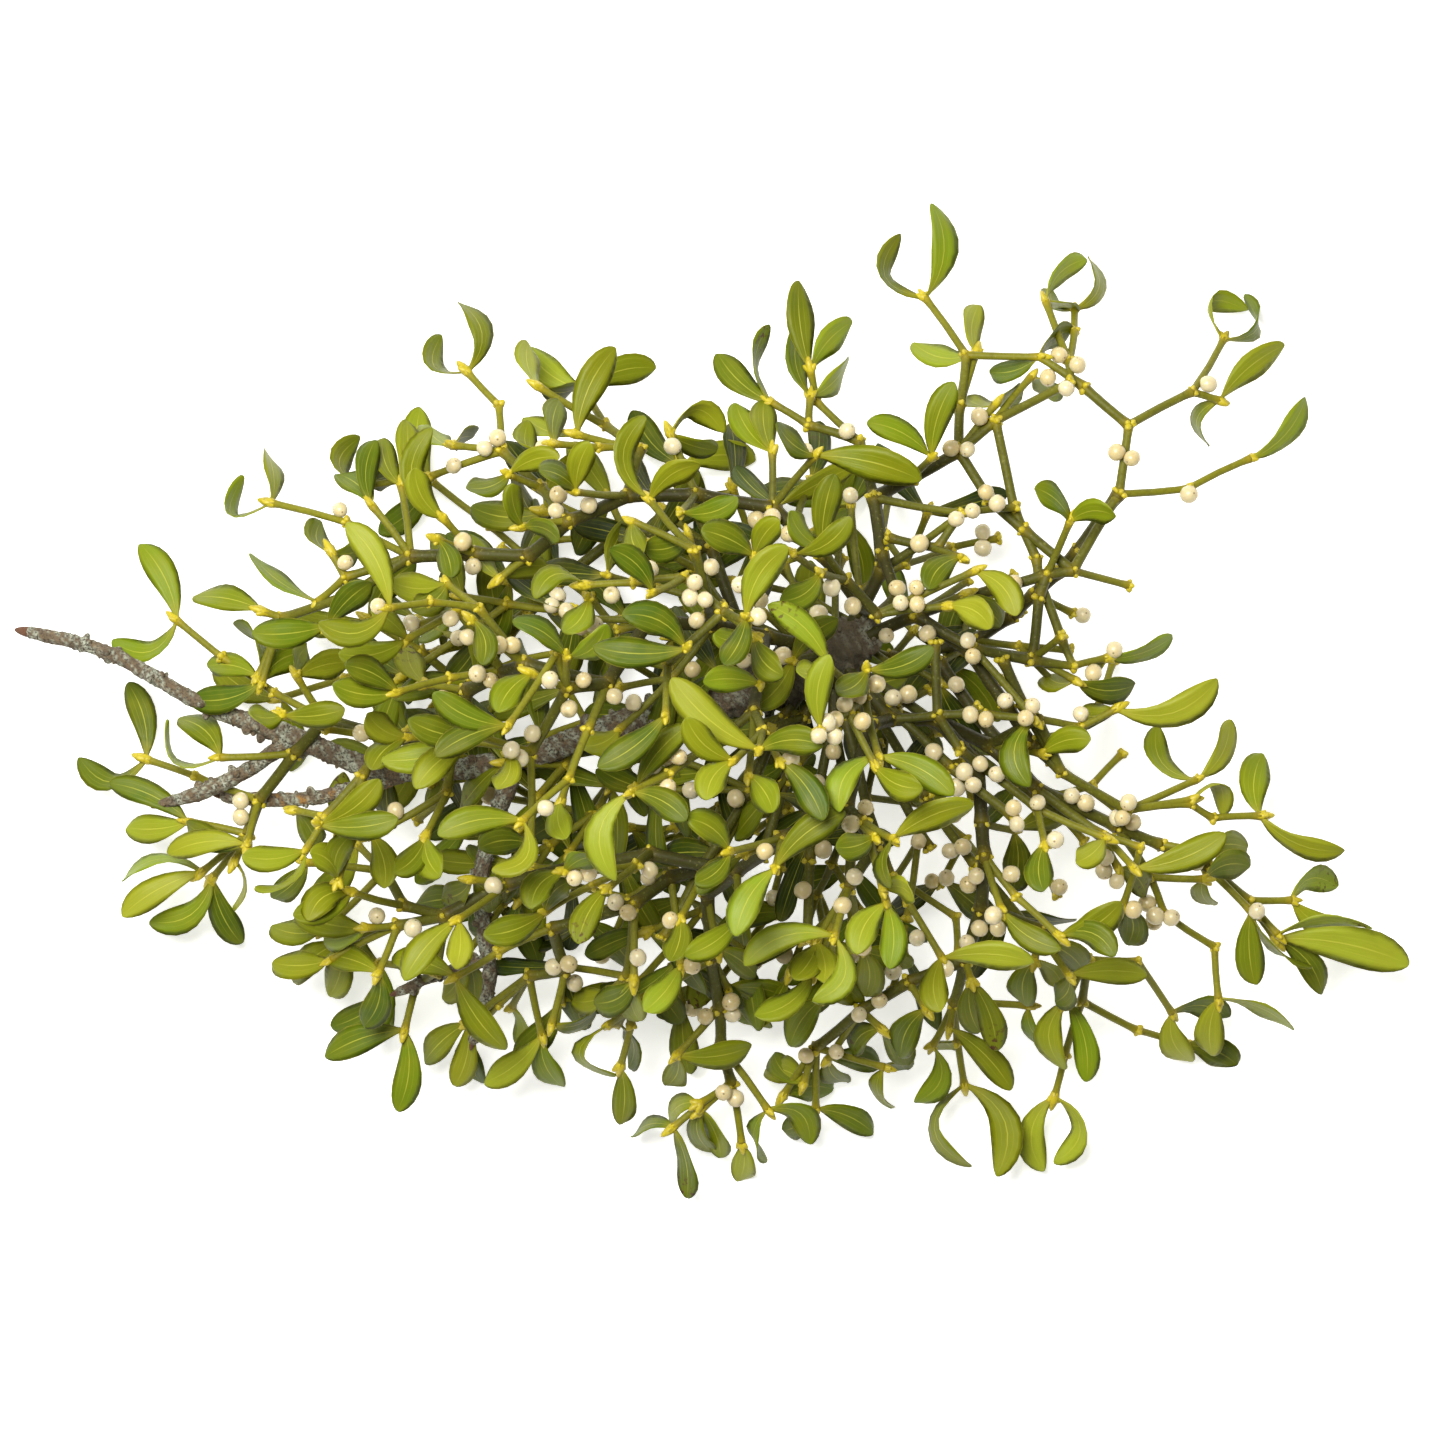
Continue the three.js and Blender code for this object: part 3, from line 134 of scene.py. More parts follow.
# shoot tips: x, y, level, then for each leaf the plan place of its end, bow and turn in degrees
tipTable = [
    [267, 120, 0.4, 295, 151, -5, 40], [255, 180, 0.4, 268, 195, 17, 75, 266, 203, -13, 70],
    [252, 149, 0.4, 285, 177, 3, 30, 248, 127, -9, 60],
    [162, 170, 0.45, 179, 184, 3, 60, 138, 163, 3, 40],
    [181, 195, 0.4, 188, 222, -9, 55, 170, 206, 6, 60],
    [166, 198, 0.36, 187, 220, 5, 50, 180, 194, 2, 75],
    [176, 88, 0.6, 158, 104, -3, 35, 198, 90, 4, 30],
    [106, 200, 0.3, 94, 232, 15, 60, 109, 247, -8, 30],
    [131, 172, 0.4, 133, 197, 3, 40, 100, 178, 5, 40],
    [140, 146, 0.5, 154, 151, 2, 50, 126, 150, 2, 60], [158, 160, 0.42, 169, 149, 3, 50],
    [108, 119, 0.6, 119, 156, 3, 10, 76, 136, -4, 20],
    [49, 163, 0.35, 43, 208, 2, 25, 70, 188, 3, 35],
    [49, 150, 0.4, 44, 186, 5, 45, 68, 170, -3, 50],
    [30, 147, 0.4, 3, 172, 3, 20, 29, 186, 8, 75],
    [30, 122, 0.5, 26, 148, 2, 25, 12, 147, 3, 25],
    [51, 120, 0.6, 103, 108, 3, 15, 32, 136, 3, 40], [54, 74, 0.8, 60, 110, 2, 10, 38, 92, 3, 40],
    [-121, 163, 0.35, -126, 198, -10, 40, -134, 182, 12, 60],
    [-85, 155, 0.4, -91, 178, 3, 45, -66, 156, -3, 50],
    [-66, 131, 0.5, -47, 174, 4, 10, -92, 140, 3, 50],
    [-77, 126, 0.5, -75, 148, 2, 35, -90, 138, 10, 55],
    [-99, 111, 0.6, -74, 119, 3, 20, -120, 104, 3, 40],
    [-66, 102, 0.7, -59, 126, 2, 10, -84, 112, -3, 40],
    [-30, 98, 0.7, -32, 139, 12, 35, -5, 115, 4, 30],
    [-20, 131, 0.5, 6, 132, 12, 50, 3, 124, -2, 40],
    [-92, 85, 0.65, -97, 106, 2, 40, -74, 78, 3, 45],
    [-131, 89, 0.6, -137, 134, 13, 25, -145, 114, 4, 20],
    [-167, 96, 0.5, -166, 129, 4, 30, -185, 112, -3, 30],
    [-153, 106, 0.45, -163, 130, 3, 25, -151, 139, -2, 30],
    [-171, 106, 0.4, -174, 131, 12, 55, -152, 112, 2, 40],
    [-127, 126, 0.4, -118, 131, 2, 60, -141, 137, 3, 50],
    [-218, 98, 0.35, -222, 125, -3, 55, -232, 112, 18, 35],
    [-187, 73, 0.5, -193, 89, 5, 50, -172, 76, -2, 30],
    [-265, 40, 0.32, -284, 78, -4, 10, -298, 30, 11, 40], [-221, 44, 0.42, -257, 51, -3, 30],
    [-194, 49, 0.45, -228, 73, 3, 60], [-156, 45, 0.95, -177, 86, -5, 5, -190, 38, 9, 15],
    [-188, 37, 0.6, -166, 58, 2, 20, -225, 33, 2, 5],
    [-224, 12, 0.4, -237, 38, -8, 80, -250, 17, -3, 15],
    [-222, 9, 0.46, -201, 24, 4, 15, -258, 1, 4, 15],
    [-243, -28, 0.36, -269, -9, 15, 80, -265, -9, -5, 15],
    [-210, -7, 0.65, -179, -4, -2, 10, -226, -6, 2, 40],
    [-204, 12, 0.5, -178, 19, 2, 15, -200, 27, 2, 50],
    [-153, 4, 0.8, -178, 17, -3, 15, -184, 8, 3, 15],
    [-281, -29, 0.22, -291, 9, -4, 8, -315, -28, 12, 45],
    [-259, -60, 0.32, -291, -63, 2, 12, -299, -41, -4, 20],
    [-229, -71, 0.45, -260, -60, 4, 5, -269, -76, -4, 15],
    [-253, -85, 0.26, -293, -90, -9, 65, -293, -107, -3, 10],
    [-248, -88, 0.2, -280, -110, 9, 15, -234, -121, -3, 10], [-236, -79, 0.34, -238, -103, 6, 80],
    [-199, -73, 0.6, -230, -76, 3, 15, -224, -92, 8, 75],
    [-199, -80, 0.36, -218, -98, 2, 15, -228, -80, -6, 80],
    [-191, -60, 0.9, -152, -57, -3, 3, -161, -38, -4, 15], [-205, -54, 0.5, -195, -73, 2, 20],
    [-183, -88, 0.7, -176, -66, 4, 15, -196, -74, -4, 30],
    [-176, -94, 0.6, -197, -108, -6, 15, -205, -105, 3, 20],
    [-170, -112, 0.45, -206, -105, 2, 20, -192, -118, 2, 30], [-191, -113, 0.3, -219, -112, 3, 30],
    [-184, -120, 0.3, -190, -147, 3, 15, -208, -140, -3, 20],
    [-164, -134, 0.5, -190, -126, -2, 20, -172, -161, 4, 5], [-188, -128, 0.3, -218, -130, 2, 20],
    [-160, -146, 0.2, -190, -163, 2, 20, -170, -168, 3, 25],
    [-152, -163, 0.3, -192, -177, -3, 5, -156, -204, 4, 8],
    [-124, -107, 0.65, -125, -131, 2, 5, -150, -137, -3, 15],
    [-126, -136, 0.5, -158, -128, -3, 15, -101, -172, -3, 15],
    [-122, -126, 0.25, -118, -150, 2, 20, -134, -148, 3, 30],
    [-121, -160, 0.2, -143, -180, -2, 20, -128, -192, 3, 20],
    [-119, -164, 0.12, -114, -191, -5, 20],
    [-84, -166, 0.25, -113, -190, 3, 20, -74, -192, -4, 25], [-79, -160, 0.35, -56, -151, -5, 60],
    [-99, -152, 0.22, -95, -176, 4, 50], [-81, -103, 0.78, -111, -114, 3, 5, -69, -88, 3, 15],
    [-71, -83, 0.85, -87, -101, -5, 10, -52, -76, 3, 40], [-50, -91, 0.85, -64, -118, -3, 5],
    [-38, -44, 0.97, -12, -58, 3, 3, -46, -87, -12, 12], [-36, -42, 0.86, -11, -12, 3, 15],
    [-91, -58, 0.97, -132, -65, -4, 3, -106, -82, 11, 10], [-88, -70, 0.7, -113, -72, -3, 15],
    [-98, -12, 0.97, -134, 4, 4, 3, -133, -27, -3, 10], [-114, -17, 0.82, -147, -9, 3, 8],
    [-117, -20, 0.7, -161, -29, 3, 10, -144, -43, -3, 10], [-98, -26, 0.8, -104, -43, 3, 30],
    [-149, -18, 0.6, -168, -6, 3, 10, -166, -34, -3, 25], [-28, 52, 0.97, -49, 73, -4, 5],
    [-12, 25, 1, -43, 41, -6, 5, -57, 26, 3, 8], [-70, 21, 0.9, -51, 37, -5, 30, -96, 38, -4, 40],
    [-61, 56, 0.85, -85, 49, -9, 35], [-60, 50, 0.75, -72, 33, 3, 20],
    [-22, -7, 0.95, -55, -32, 3, 12], [23, -24, 0.96, -19, 11, 4, 8, 54, -22, 4, 5],
    [11, -29, 1, -12, -8, 4, 3, -2, -48, -4, 8], [18, -36, 0.86, 30, -54, 2, 10],
    [24, 8, 0.82, -4, 9, -2, 3], [17, 40, 1, 37, 74, 5, 5, 6, 17, 2, 25],
    [21, 31, 0.95, 35, 12, -4, 20, 1, 32, 3, 30], [21, 70, 0.96, -5, 82, -2, 5, 33, 87, 2, 10],
    [40, 71, 0.9, 67, 89, -5, 20], [53, 62, 0.88, 33, 48, 4, 8],
    [57, 16, 0.97, 27, 46, -5, 5, 41, 14, 2, 30], [53, -14, 0.97, 57, 22, 4, 5],
    [33, -29, 0.92, 54, -58, 3, 8], [75, 15, 0.92, 107, 26, -4, 5, 60, 4, 3, 20],
    [81, -27, 0.9, 117, -46, 4, 8, 62, -54, -8, 25], [79, -31, 0.96, 102, -42, -4, 10],
    [88, -67, 0.92, 127, -50, 3, 20, 87, -90, -5, 60], [79, -66, 0.86, 60, -71, 2, 8],
    [9, -73, 0.96, -12, -57, -4, 20, -8, -88, 3, 30],
    [31, -81, 0.96, 65, -54, 4, 5, 12, -114, -4, 5],
    [17, -74, 0.85, -6, -94, -3, 25], [-15, -106, 0.7, -20, -127, 2, 20],
    [14, -105, 0.75, -13, -124, 3, 8], [60, -115, 0.8, 16, -129, -8, 15, 49, -146, 11, 10],
    [85, -98, 0.86, 71, -123, -4, 5, 86, -130, 3, 5], [83, -91, 0.92, 98, -97, 4, 30],
    [113, -126, 0.65, 158, -128, 3, 20, 112, -152, -4, 5], [50, -134, 0.55, 21, -154, 5, 30],
    [56, -146, 0.45, 39, -171, -3, 5, 74, -147, 3, 25],
    [52, -118, 0.6, 55, -138, 2, 10, 40, -136, 2, 15],
    [74, -122, 0.5, 76, -146, 3, 8, 42, -134, -3, 20],
    [8, -142, 0.3, 32, -151, 4, 15, 41, -149, 3, 40],
    [3, -122, 0.45, 22, -136, 2, 10], [-15, -130, 0.55, -33, -152, 2, 10],
    [-38, -137, 0.5, -58, -149, 4, 5, -35, -158, -3, 20], [-50, -144, 0.36, -69, -149, 2, 15],
    [-50, -160, 0.3, -47, -186, -17, 35], [-46, -160, 0.26, -41, -183, 5, 60],
    [-45, -181, 0.24, -45, -211, 2, 20], [-17, -175, 0.36, 20, -171, -3, 20, -22, -191, 3, 20],
    [-5, -203, 0.2, 1, -225, -5, 40, 5, -228, 2, 45], [-6, -200, 0.22, -21, -209, -4, 40],
    [-19, -212, 0.14, -39, -217, -4, 60, -12, -248, 3, 50], [15, -220, 0.1, 14, -240, 2, 20],
    [52, -203, 0.12, 81, -216, 3, 15, 36, -215, 2, 30], [36, -196, 0.2, 61, -194, 3, 15],
    [28, -203, 0.12, 28, -229, -7, 70, 49, -221, 9, 15],
    [46, -190, 0.2, 27, -184, -3, 15, 31, -176, 3, 30],
    [58, -178, 0.2, 67, -190, -3, 20, 84, -182, 3, 15],
    [84, -162, 0.35, 97, -181, 2, 25, 70, -175, -4, 25], [106, -152, 0.45, 94, -177, -4, 5],
    [86, -182, 0.2, 91, -203, -6, 60, 97, -184, 3, 70],
    [126, -191, 0.1, 130, -232, -17, 60, 142, -237, 13, 10],
    [118, -162, 0.3, 149, -193, 3, 12], [110, -171, 0.22, 101, -200, 9, 15, 120, -174, 3, 30],
    [128, -138, 0.45, 133, -164, -3, 5, 141, -173, 3, 20],
    [159, -128, 0.5, 156, -151, -4, 8, 174, -142, 3, 40], [157, -151, 0.3, 174, -170, -7, 55],
    [142, -102, 0.65, 171, -121, -4, 8], [170, -115, 0.7, 197, -125, 7, 12, 200, -98, -4, 12],
    [166, -120, 0.5, 184, -133, 2, 8], [163, -70, 0.7, 162, -93, -3, 3],
    [176, -135, 0.5, 215, -135, 2, 5, 170, -149, 3, 10],
    [171, -197, 0.1, 166, -235, -9, 10, 171, -231, 13, 50],
    [176, -148, 0.3, 176, -183, -9, 20, 186, -189, 4, 25],
    [229, -155, 0.2, 258, -158, 5, 40, 240, -180, -5, 15], [236, -172, 0.1, 263, -182, 3, 15],
    [252, -148, 0.2, 290, -164, 4, 65, 250, -177, -3, 5],
    [280, -118, 0.25, 347, -131, 4, 15, 304, -146, 5, 8], [281, -116, 0.3, 328, -113, 6, 65],
    [267, -104, 0.4, 270, -141, -2, 3, 298, -132, -6, 80],
    [288, -99, 0.28, 312, -93, 8, 25, 319, -119, -3, 12],
    [243, -88, 0.42, 267, -82, 4, 15, 248, -101, -3, 15],
    [272, -57, 0.34, 274, -26, 4, 5, 314, -74, -6, 40],
    [240, -39, 0.34, 221, -12, 9, 40, 257, -9, -5, 35], [237, -49, 0.4, 253, -57, 13, 60],
    [207, -82, 0.65, 252, -65, -4, 5], [243, -75, 0.42, 266, -73, 3, 10],
    [199, -4, 0.5, 249, 11, -10, 20, 181, -7, 2, 30],
    [195, 21, 0.5, 228, 32, -3, 50, 197, 3, -6, 80],
    [179, 10, 0.5, 209, 8, -4, 20, 165, 13, 3, 15], [158, -9, 0.6, 156, -42, -9, 15],
    [162, -26, 0.52, 186, -19, 3, 8], [122, 70, 0.66, 106, 54, -4, 8],
    [128, 63, 0.76, 148, 41, 5, 5], [115, 46, 0.72, 136, 35, 4, 8], [124, 52, 0.5, 143, 37, 2, 15],
    [200, -82, 0.5, 215, -96, 3, 8], [203, -101, 0.46, 206, -121, 4, 15],
    [193, -67, 0.62, 178, -79, 2, 20], [-11, 80, 0.7, -33, 74, 3, 10],
    [-15, 92, 0.7, 13, 99, -4, 8], [-38, 87, 0.76, -33, 70, -3, 20],
    [-129, 57, 0.7, -156, 58, 3, 8, -146, 44, 3, 20], [-134, 79, 0.6, -127, 60, 2, 15],
    [-116, 39, 0.82, -111, 17, 4, 15], [-149, 30, 0.66, -182, 23, 4, 10, -166, 44, -2, 35],
    [-87, 13, 0.84, -103, -6, -3, 8], [-73, -49, 0.74, -70, -67, -3, 8],
    [-140, -66, 0.6, -155, -84, 3, 8, -132, -86, -3, 10], [-167, -66, 0.55, -160, -92, 3, 10],
    [-88, -82, 0.5, -103, -100, -3, 12], [-118, -88, 0.5, -133, -97, 3, 15, -108, -104, 3, 25],
    [-104, 60, 0.5, -80, 66, 3, 20, -118, 82, 3, 30], [-45, -14, 0.6, -64, -22, 3, 20],
    [-140, 8, 0.5, -118, -2, 3, 20, -150, 28, 3, 25], [40, 20, 0.6, 20, -4, 3, 15, 62, 40, 3, 25],
]

# berries in plan, mm
berryTable = [
    [201, 122], [206, 120], [236, 102], [247, 157], [166, 159], [175, 154], [172, 171], [181, 166],
    [132, 140], [120, 89], [128, 93], [135, 84], [135, 76], [43, 124], [67, 133], [90, 114],
    [53, 107], [69, 102], [38, 82], [30, 90], [22, 87], [102, 77], [-19, 125], [-111, 125],
    [-106, 129], [-75, 101], [-76, 93], [-60, 96], [-83, 124], [-127, 116], [-122, 78], [-183, 95],
    [-180, 68], [-164, 46], [-172, -16], [-233, -50], [-233, -57], [-155, -54], [-117, 66],
    [-127, 40], [-125, 31], [-119, 31], [-147, 38], [-103, 27], [-97, 27], [-114, 13], [-108, 10],
    [-132, 0], [-97, -24], [-93, -28], [-87, -16], [-75, 53], [-64, 36], [-57, 37], [-78, 10],
    [-62, 10], [-47, 2], [-38, -1], [-69, -4], [-48, 50], [-30, 65], [-9, 50], [-4, 49],
    [-8, 57], [8, 58], [3, 66], [-8, 40], [-9, 15], [16, 20], [-28, -20], [-29, -26], [-21, -42],
    [-10, -44], [12, -48], [-80, -52], [-66, -86], [-60, -84], [-30, -83], [-31, -87], [58, 51],
    [53, 43], [68, 45], [86, 32], [106, 33], [35, 22], [66, 7], [83, 8], [121, 8], [73, -10],
    [109, -25], [60, -25], [52, -40], [124, -35], [128, -41], [119, -45], [121, -55], [132, -31],
    [140, -36], [157, -3], [154, -8], [144, 0], [149, 58], [195, 40], [201, 28], [189, 10],
    [181, -5], [160, -50], [26, -73], [55, -73], [68, -60], [75, -52], [102, -69], [117, -75],
    [124, -72], [130, -86], [168, -68], [194, -77], [178, -47], [184, -50], [70, -86], [147, -85],
    [203, -56], [208, -60], [45, -93], [31, -98], [32, -105], [64, -100], [109, -90], [117, -88],
    [122, -91], [172, -92], [195, -89], [190, -92], [138, -105], [132, -112], [141, -112],
    [126, -119], [34, -125], [24, -133], [90, -134], [115, -132], [83, -148], [73, -155],
    [47, -176], [62, -174], [100, -117], [215, -103], [211, -104], [215, -111], [226, -107],
    [220, -106], [270, -104], [197, -108], [240, -80], [-47, -99], [-41, -104], [-20, -107],
    [-36, -126], [-9, -130], [-42, -149], [-66, -140], [-8, -153], [10, -149], [12, -155],
    [-165, -106], [-147, -112], [-107, -91], [7, -195], [11, -197], [-124, -20], [-3, -156],
]

# host branch, mm: x, y, z, radius along each limb; the first ends in the burl
hostLimbs = [
    [[-345, 33, 46, 1.6], [-338, 34, 47, 3.2], [-297, 23, 52, 3.6], [-251, -2, 60, 3.8],
      [-206, -18, 68, 5.2], [-161, -34, 74, 5], [-100, -30, 80, 5.8], [-40, -10, 86, 7],
      [20, 5, 92, 11], [52, 20, 95, 15], [74, 32, 95, 11], [84, 38, 94, 5]],
    [[-206, -18, 68, 4.4], [-229, -34, 62, 3.8], [-252, -45, 56, 3.8], [-275, -52, 50, 2.4]],
    [[-150, -36, 74, 4], [-191, -47, 60, 3.5], [-220, -49, 52, 3.5], [-244, -47, 47, 3.2]],
    [[-96, -31, 80, 4.6], [-112, -76, 70, 4.2], [-113, -109, 60, 3.9], [-110, -139, 48, 3.5],
      [-119, -171, 38, 2.6]],
    [[-110, -128, 50, 3.4], [-136, -136, 54, 2.9], [-157, -145, 56, 2.3]],
]

hub = np.array(plant["hub"], float)


def chance(item, use):  # repeatable number from 0 to 1: the fraction of a scaled sine
    wave = np.sin(item * 12.9898 + use * 78.233) * 4375.8545
    return wave - np.floor(wave)


def placeOf(row):  # height = a flattened dome over a floor of resting leaves, blended by level
    x, y, level = row[:3]
    (middleX, middleY), (halfLong, halfBroad) = plant["middle"], plant["halfSize"]
    (rest, restRise), (rim, domeRise) = plant["restHeight"], plant["domeHeight"]
    out = min(1, ((x - middleX) / halfLong) ** 2 + ((y - middleY) / halfBroad) ** 2)
    low = rest + restRise * out
    return np.array([x, y, low + level * (rim + domeRise * (1 - out) ** 0.5 - low)])


# Leaves as quadratic curves base, handle, end: the handle stands off the chord's middle by twice
# the bow, and what is left of the leaf's length after its reach in plan goes into rise or droop.
# A leaf whose arc in plan is tighter than its width is turned on edge until it fits
def leafCurves(bases, levels, rows):
    bases, rows, levels = np.atleast_2d(bases), np.array(rows, float), np.array(levels, float)
    ends, bow, turn = rows[:, :2], rows[:, 2], rows[:, 3]
    chord = ends - bases[:, :2]
    reach = np.hypot(chord[:, 0], chord[:, 1])
    length = np.maximum(plant["leafLength"], reach * plant["slack"])
    spare = np.sqrt(np.maximum(0, length**2 - reach**2 - (2.2 * bow) ** 2))
    rise = spare * np.where(levels > 0.5, plant["rise"], plant["droop"])
    end = np.column_stack([ends, np.maximum(plant["lift"], bases[:, 2] + rise)])
    side = np.column_stack([-chord[:, 1] / reach, chord[:, 0] / reach, np.zeros(len(reach))])
    handle = np.column_stack([
        bases[:, :2] + chord / 2 + 2 * bow[:, None] * side[:, :2],
        np.maximum(plant["lift"], (bases[:, 2] + end[:, 2]) / 2 + plant["arch"] * length),
    ])
    width = length * plant["leafWidthShare"]
    onEdge = np.arccos(np.minimum(1, 1.4 * reach**2 / (8 * np.abs(bow) + 0.1) / width))
    return {"base": bases, "handle": handle, "end": end, "side": side, "width": width,
            "turn": np.maximum(np.radians(turn), onEdge)}


def alongCurves(leaves, t):  # place on every leaf's curve at every t: (leaf, t, xyz)
    t = t[None, :, None]
    return (leaves["base"][:, None] * (1 - t) ** 2 + leaves["handle"][:, None] * 2 * t * (1 - t)
            + leaves["end"][:, None] * t**2)


def leafRows(leaves):  # level and the four-number row of each leaf of a tip
    return [leaves[0]] * (len(leaves) // 4), np.array(leaves[1:], float).reshape(-1, 4)


def leafPoints(at, leaves):  # places along the leaves of a tip, for the room they take
    levels, rows = leafRows(leaves)
    bases = np.repeat(np.array(at, float)[None], len(rows), axis=0)
    curves = leafCurves(bases, levels, rows)
    return alongCurves(curves, np.array([0.3, 0.5, 0.7, 0.9])).reshape(-1, 3)


def clearPlace(row, taken):  # of seven heights near the wanted one, the one with most room
    x, y, z = placeOf(row)
    best, least = z, np.inf
    for shift in plant["shifts"]:
        at = (x, y, max(3, z + shift))
        apart = np.linalg.norm(leafPoints(at, row[2:])[:, None] - taken[None], axis=2)
        crowding = plant["shiftCharge"] * abs(shift) + np.maximum(0, plant["room"] - apart).sum()
        if crowding < least:
            best, least = at[2], crowding
    return np.array([x, y, best])


# Plan place over an ellipse: centre + spread * out * (cos angle, sin angle)
def overEllipse(look, out, angle):
    return [middle + spread * out * wave(angle)
            for middle, spread, wave in zip(look["centre"], look["spread"], (np.cos, np.sin))]


def restingTip(index):  # a low shoot on a sunflower spiral, with two leaves apart
    angle = index * goldenTurn
    run = ((index + 0.5) / resting["tips"]) ** 0.5
    x, y = overEllipse(resting, resting["nearest"] + resting["further"] * run, angle)
    turn = angle + resting["stray"] * (chance(index, 5) - 0.5)
    reach, bow, roll = resting["leafReach"], resting["leafBow"], resting["leafRoll"]
    ends = [v for way in (turn - resting["leafTurn"], turn + resting["leafTurn"])
            for v in (x + reach * np.cos(way), y + reach * np.sin(way), bow, roll)]
    return [x, y, resting["low"] + resting["more"] * chance(index, 6), *ends]


# Joint nearer the burl that a new joint most naturally grows from: the least of the step, a share
# of the detour, and a charge for joints that already fork
def bestParent(place, knots):
    at = np.array([knot["at"] for knot in knots])
    own, others = np.linalg.norm(place - hub), np.linalg.norm(at - hub, axis=1)
    step = np.linalg.norm(at - place, axis=1)
    kids = np.array([knot["kids"] for knot in knots])
    detour = plant["detour"] * (step + others - own)
    cost = step + detour + plant["fullFork"] * np.maximum(0, kids - 1)
    leafy = np.array([knot["leaves"] is not None for knot in knots])
    shut = (others > own - plant["inward"]) | leafy
    return int(np.argmin(np.where(shut, np.inf, cost)))


def addJoint(knots, at, parent, leaves=None):  # adds a joint and gives its place in the list
    knots[parent]["kids"] += 1
    knots.append({"at": at, "parent": parent, "kids": 0, "leaves": leaves})
    return len(knots) - 1


# A straight run of years from the parent to the place, each joint but the last swayed by chance
def growTo(place, leaves, knots, parent=None):
    parent = bestParent(place, knots) if parent is None else parent
    start = knots[parent]["at"]
    years = int(np.ceil(np.linalg.norm(place - start) / plant["internode"]))
    for year in range(1, years + 1):
        sway = plant["sway"] if year < years else 0
        wander = np.array([2 * chance(len(knots), i) - 1 for i in range(3)])
        at = start + (place - start) * (year / years) + sway * wander
        parent = addJoint(knots, at, parent, leaves if year == years else None)


# Stem joints from the burl outwards, then shoot tips likewise; each stem's radius is a twig's times
# the shoots it carries to a power
def growPlant():
    knots = [{"at": hub, "parent": -1, "kids": 0, "leaves": None}]
    reach = lambda row: np.linalg.norm(placeOf(row) - hub)
    for row in sorted(forkTable, key=reach):
        growTo(placeOf(row), None, knots)
    taken = [np.array([knot["at"] for knot in knots])]
    low = [restingTip(i) for i in range(resting["tips"])]
    for row in sorted(tipTable + low, key=reach):
        at = clearPlace(row, np.concatenate(taken))
        growTo(at, row[2:], knots)
        taken += [leafPoints(at, row[2:]), at[None]]
    for knot in knots:
        knot["shoots"] = 0 if knot["kids"] else 1
    for i in range(len(knots) - 1, 0, -1):
        parent = knots[knots[i]["parent"]]
        parent["shoots"] += knots[i]["shoots"]
    for knot in knots:
        grown = plant["twigRadius"] * knot["shoots"] ** plant["radiusPower"]
        knot["radius"] = min(plant["thickestRadius"], grown)
    return knots


# Which node of the frame each joint belongs to, and which limb of the burl
def sortPieces(knots):
    pieces = []
    for index, knot in enumerate(knots):
        if not index:
            continue
        parent = knots[knot["parent"]]
        sprig = knot["shoots"] <= plant["sprigShoots"]
        starts = not knot["parent"] or (
            sprig and knot["shoots"] > 1 and parent["shoots"] > plant["sprigShoots"])
        if starts:
            pieces.append({"sprig": sprig, "members": []})
        knot["piece"] = len(pieces) - 1 if starts else parent["piece"]
        knot["limb"] = index if not knot["parent"] else parent["limb"]
        pieces[knot["piece"]]["members"].append(index)
    counts = {"woody_bough": 0, "leafy_sprig": 0}
    for piece in sorted(pieces, key=lambda piece: piece["sprig"]):
        kind = "leafy_sprig" if piece["sprig"] else "woody_bough"
        counts[kind] += 1
        piece["node"] = f"{kind}_{counts[kind]}"
    return pieces


# Finer shoots that fill the shaded middle: tips on a sunflower spiral over an ellipse, lower
# towards its rim, each joined to the joint it suits best; they thicken nothing and stay in their
# parent's piece
inner = {
    "shoots": 178,
    "centre": (22, -18),
    "spread": (190, 136),
    "low": 0.06,  # levels of the tips
    "high": 0.62,
    "rimFall": 0.45,  # share of its level that a tip loses at the rim
    "leafless": 0.3,  # share of the shoots that have dropped their leaves
    "bareSide": 0.62,  # how much more of them have on the open side of the bunch
    "leafReach": 36,
    "leafVaries": (0.8, 0.4),  # least share of that reach, and how much more by chance
    "leafTurn": 0.95,
    "leafBow": 6,
    "leafRoll": (10, 45),
    "stray": 1.6,
    "openSide": (20, 120),  # x where the open side begins, and mm over which it opens fully
    "stout": 1.12,  # girth of a joint that bears another over one that doesn't
    "web": 9,  # bare older stems that leave the burl for the open side
    "webTurn": (-2.15, -0.45),  # directions they fan out over, radians from +X
    "webReach": (95, 175),
    "webLevel": (0.3, 0.72),
    "webRadius": 2.1,
    "meet": 11,  # mm in plan within which the end of a bare stem meets a joint
}


def innerTip(index):  # plan place and level of a finer shoot, and its two leaves if it has them
    out = ((index + 0.5) / inner["shoots"]) ** 0.5
    x, y = overEllipse(inner, out, index * goldenTurn + 0.7)
    level = inner["low"] + (inner["high"] - inner["low"]) * chance(index, 14)
    level = level * (1 - inner["rimFall"] * out)
    heading = np.arctan2(y - hub[1], x - hub[0]) + inner["stray"] * (chance(index, 15) - 0.5)
    (least, more), (roll, rollMore) = inner["leafVaries"], inner["leafRoll"]
    leaves = []
    for k, way in enumerate((heading - inner["leafTurn"], heading + inner["leafTurn"])):
        reach = inner["leafReach"] * (least + more * chance(index, 16 + k))
        leaves += [x + reach * np.cos(way), y + reach * np.sin(way),
                   inner["leafBow"] * (chance(index, 18 + k) - 0.5),
                   roll + rollMore * chance(index, 20 + k)]
    openFrom, openOver = inner["openSide"]
    bare = inner["leafless"] + inner["bareSide"] * min(1, max(0, (x - openFrom) / openOver))
    return [x, y, level], ([0.0, *leaves] if chance(index, 22) > bare else None)


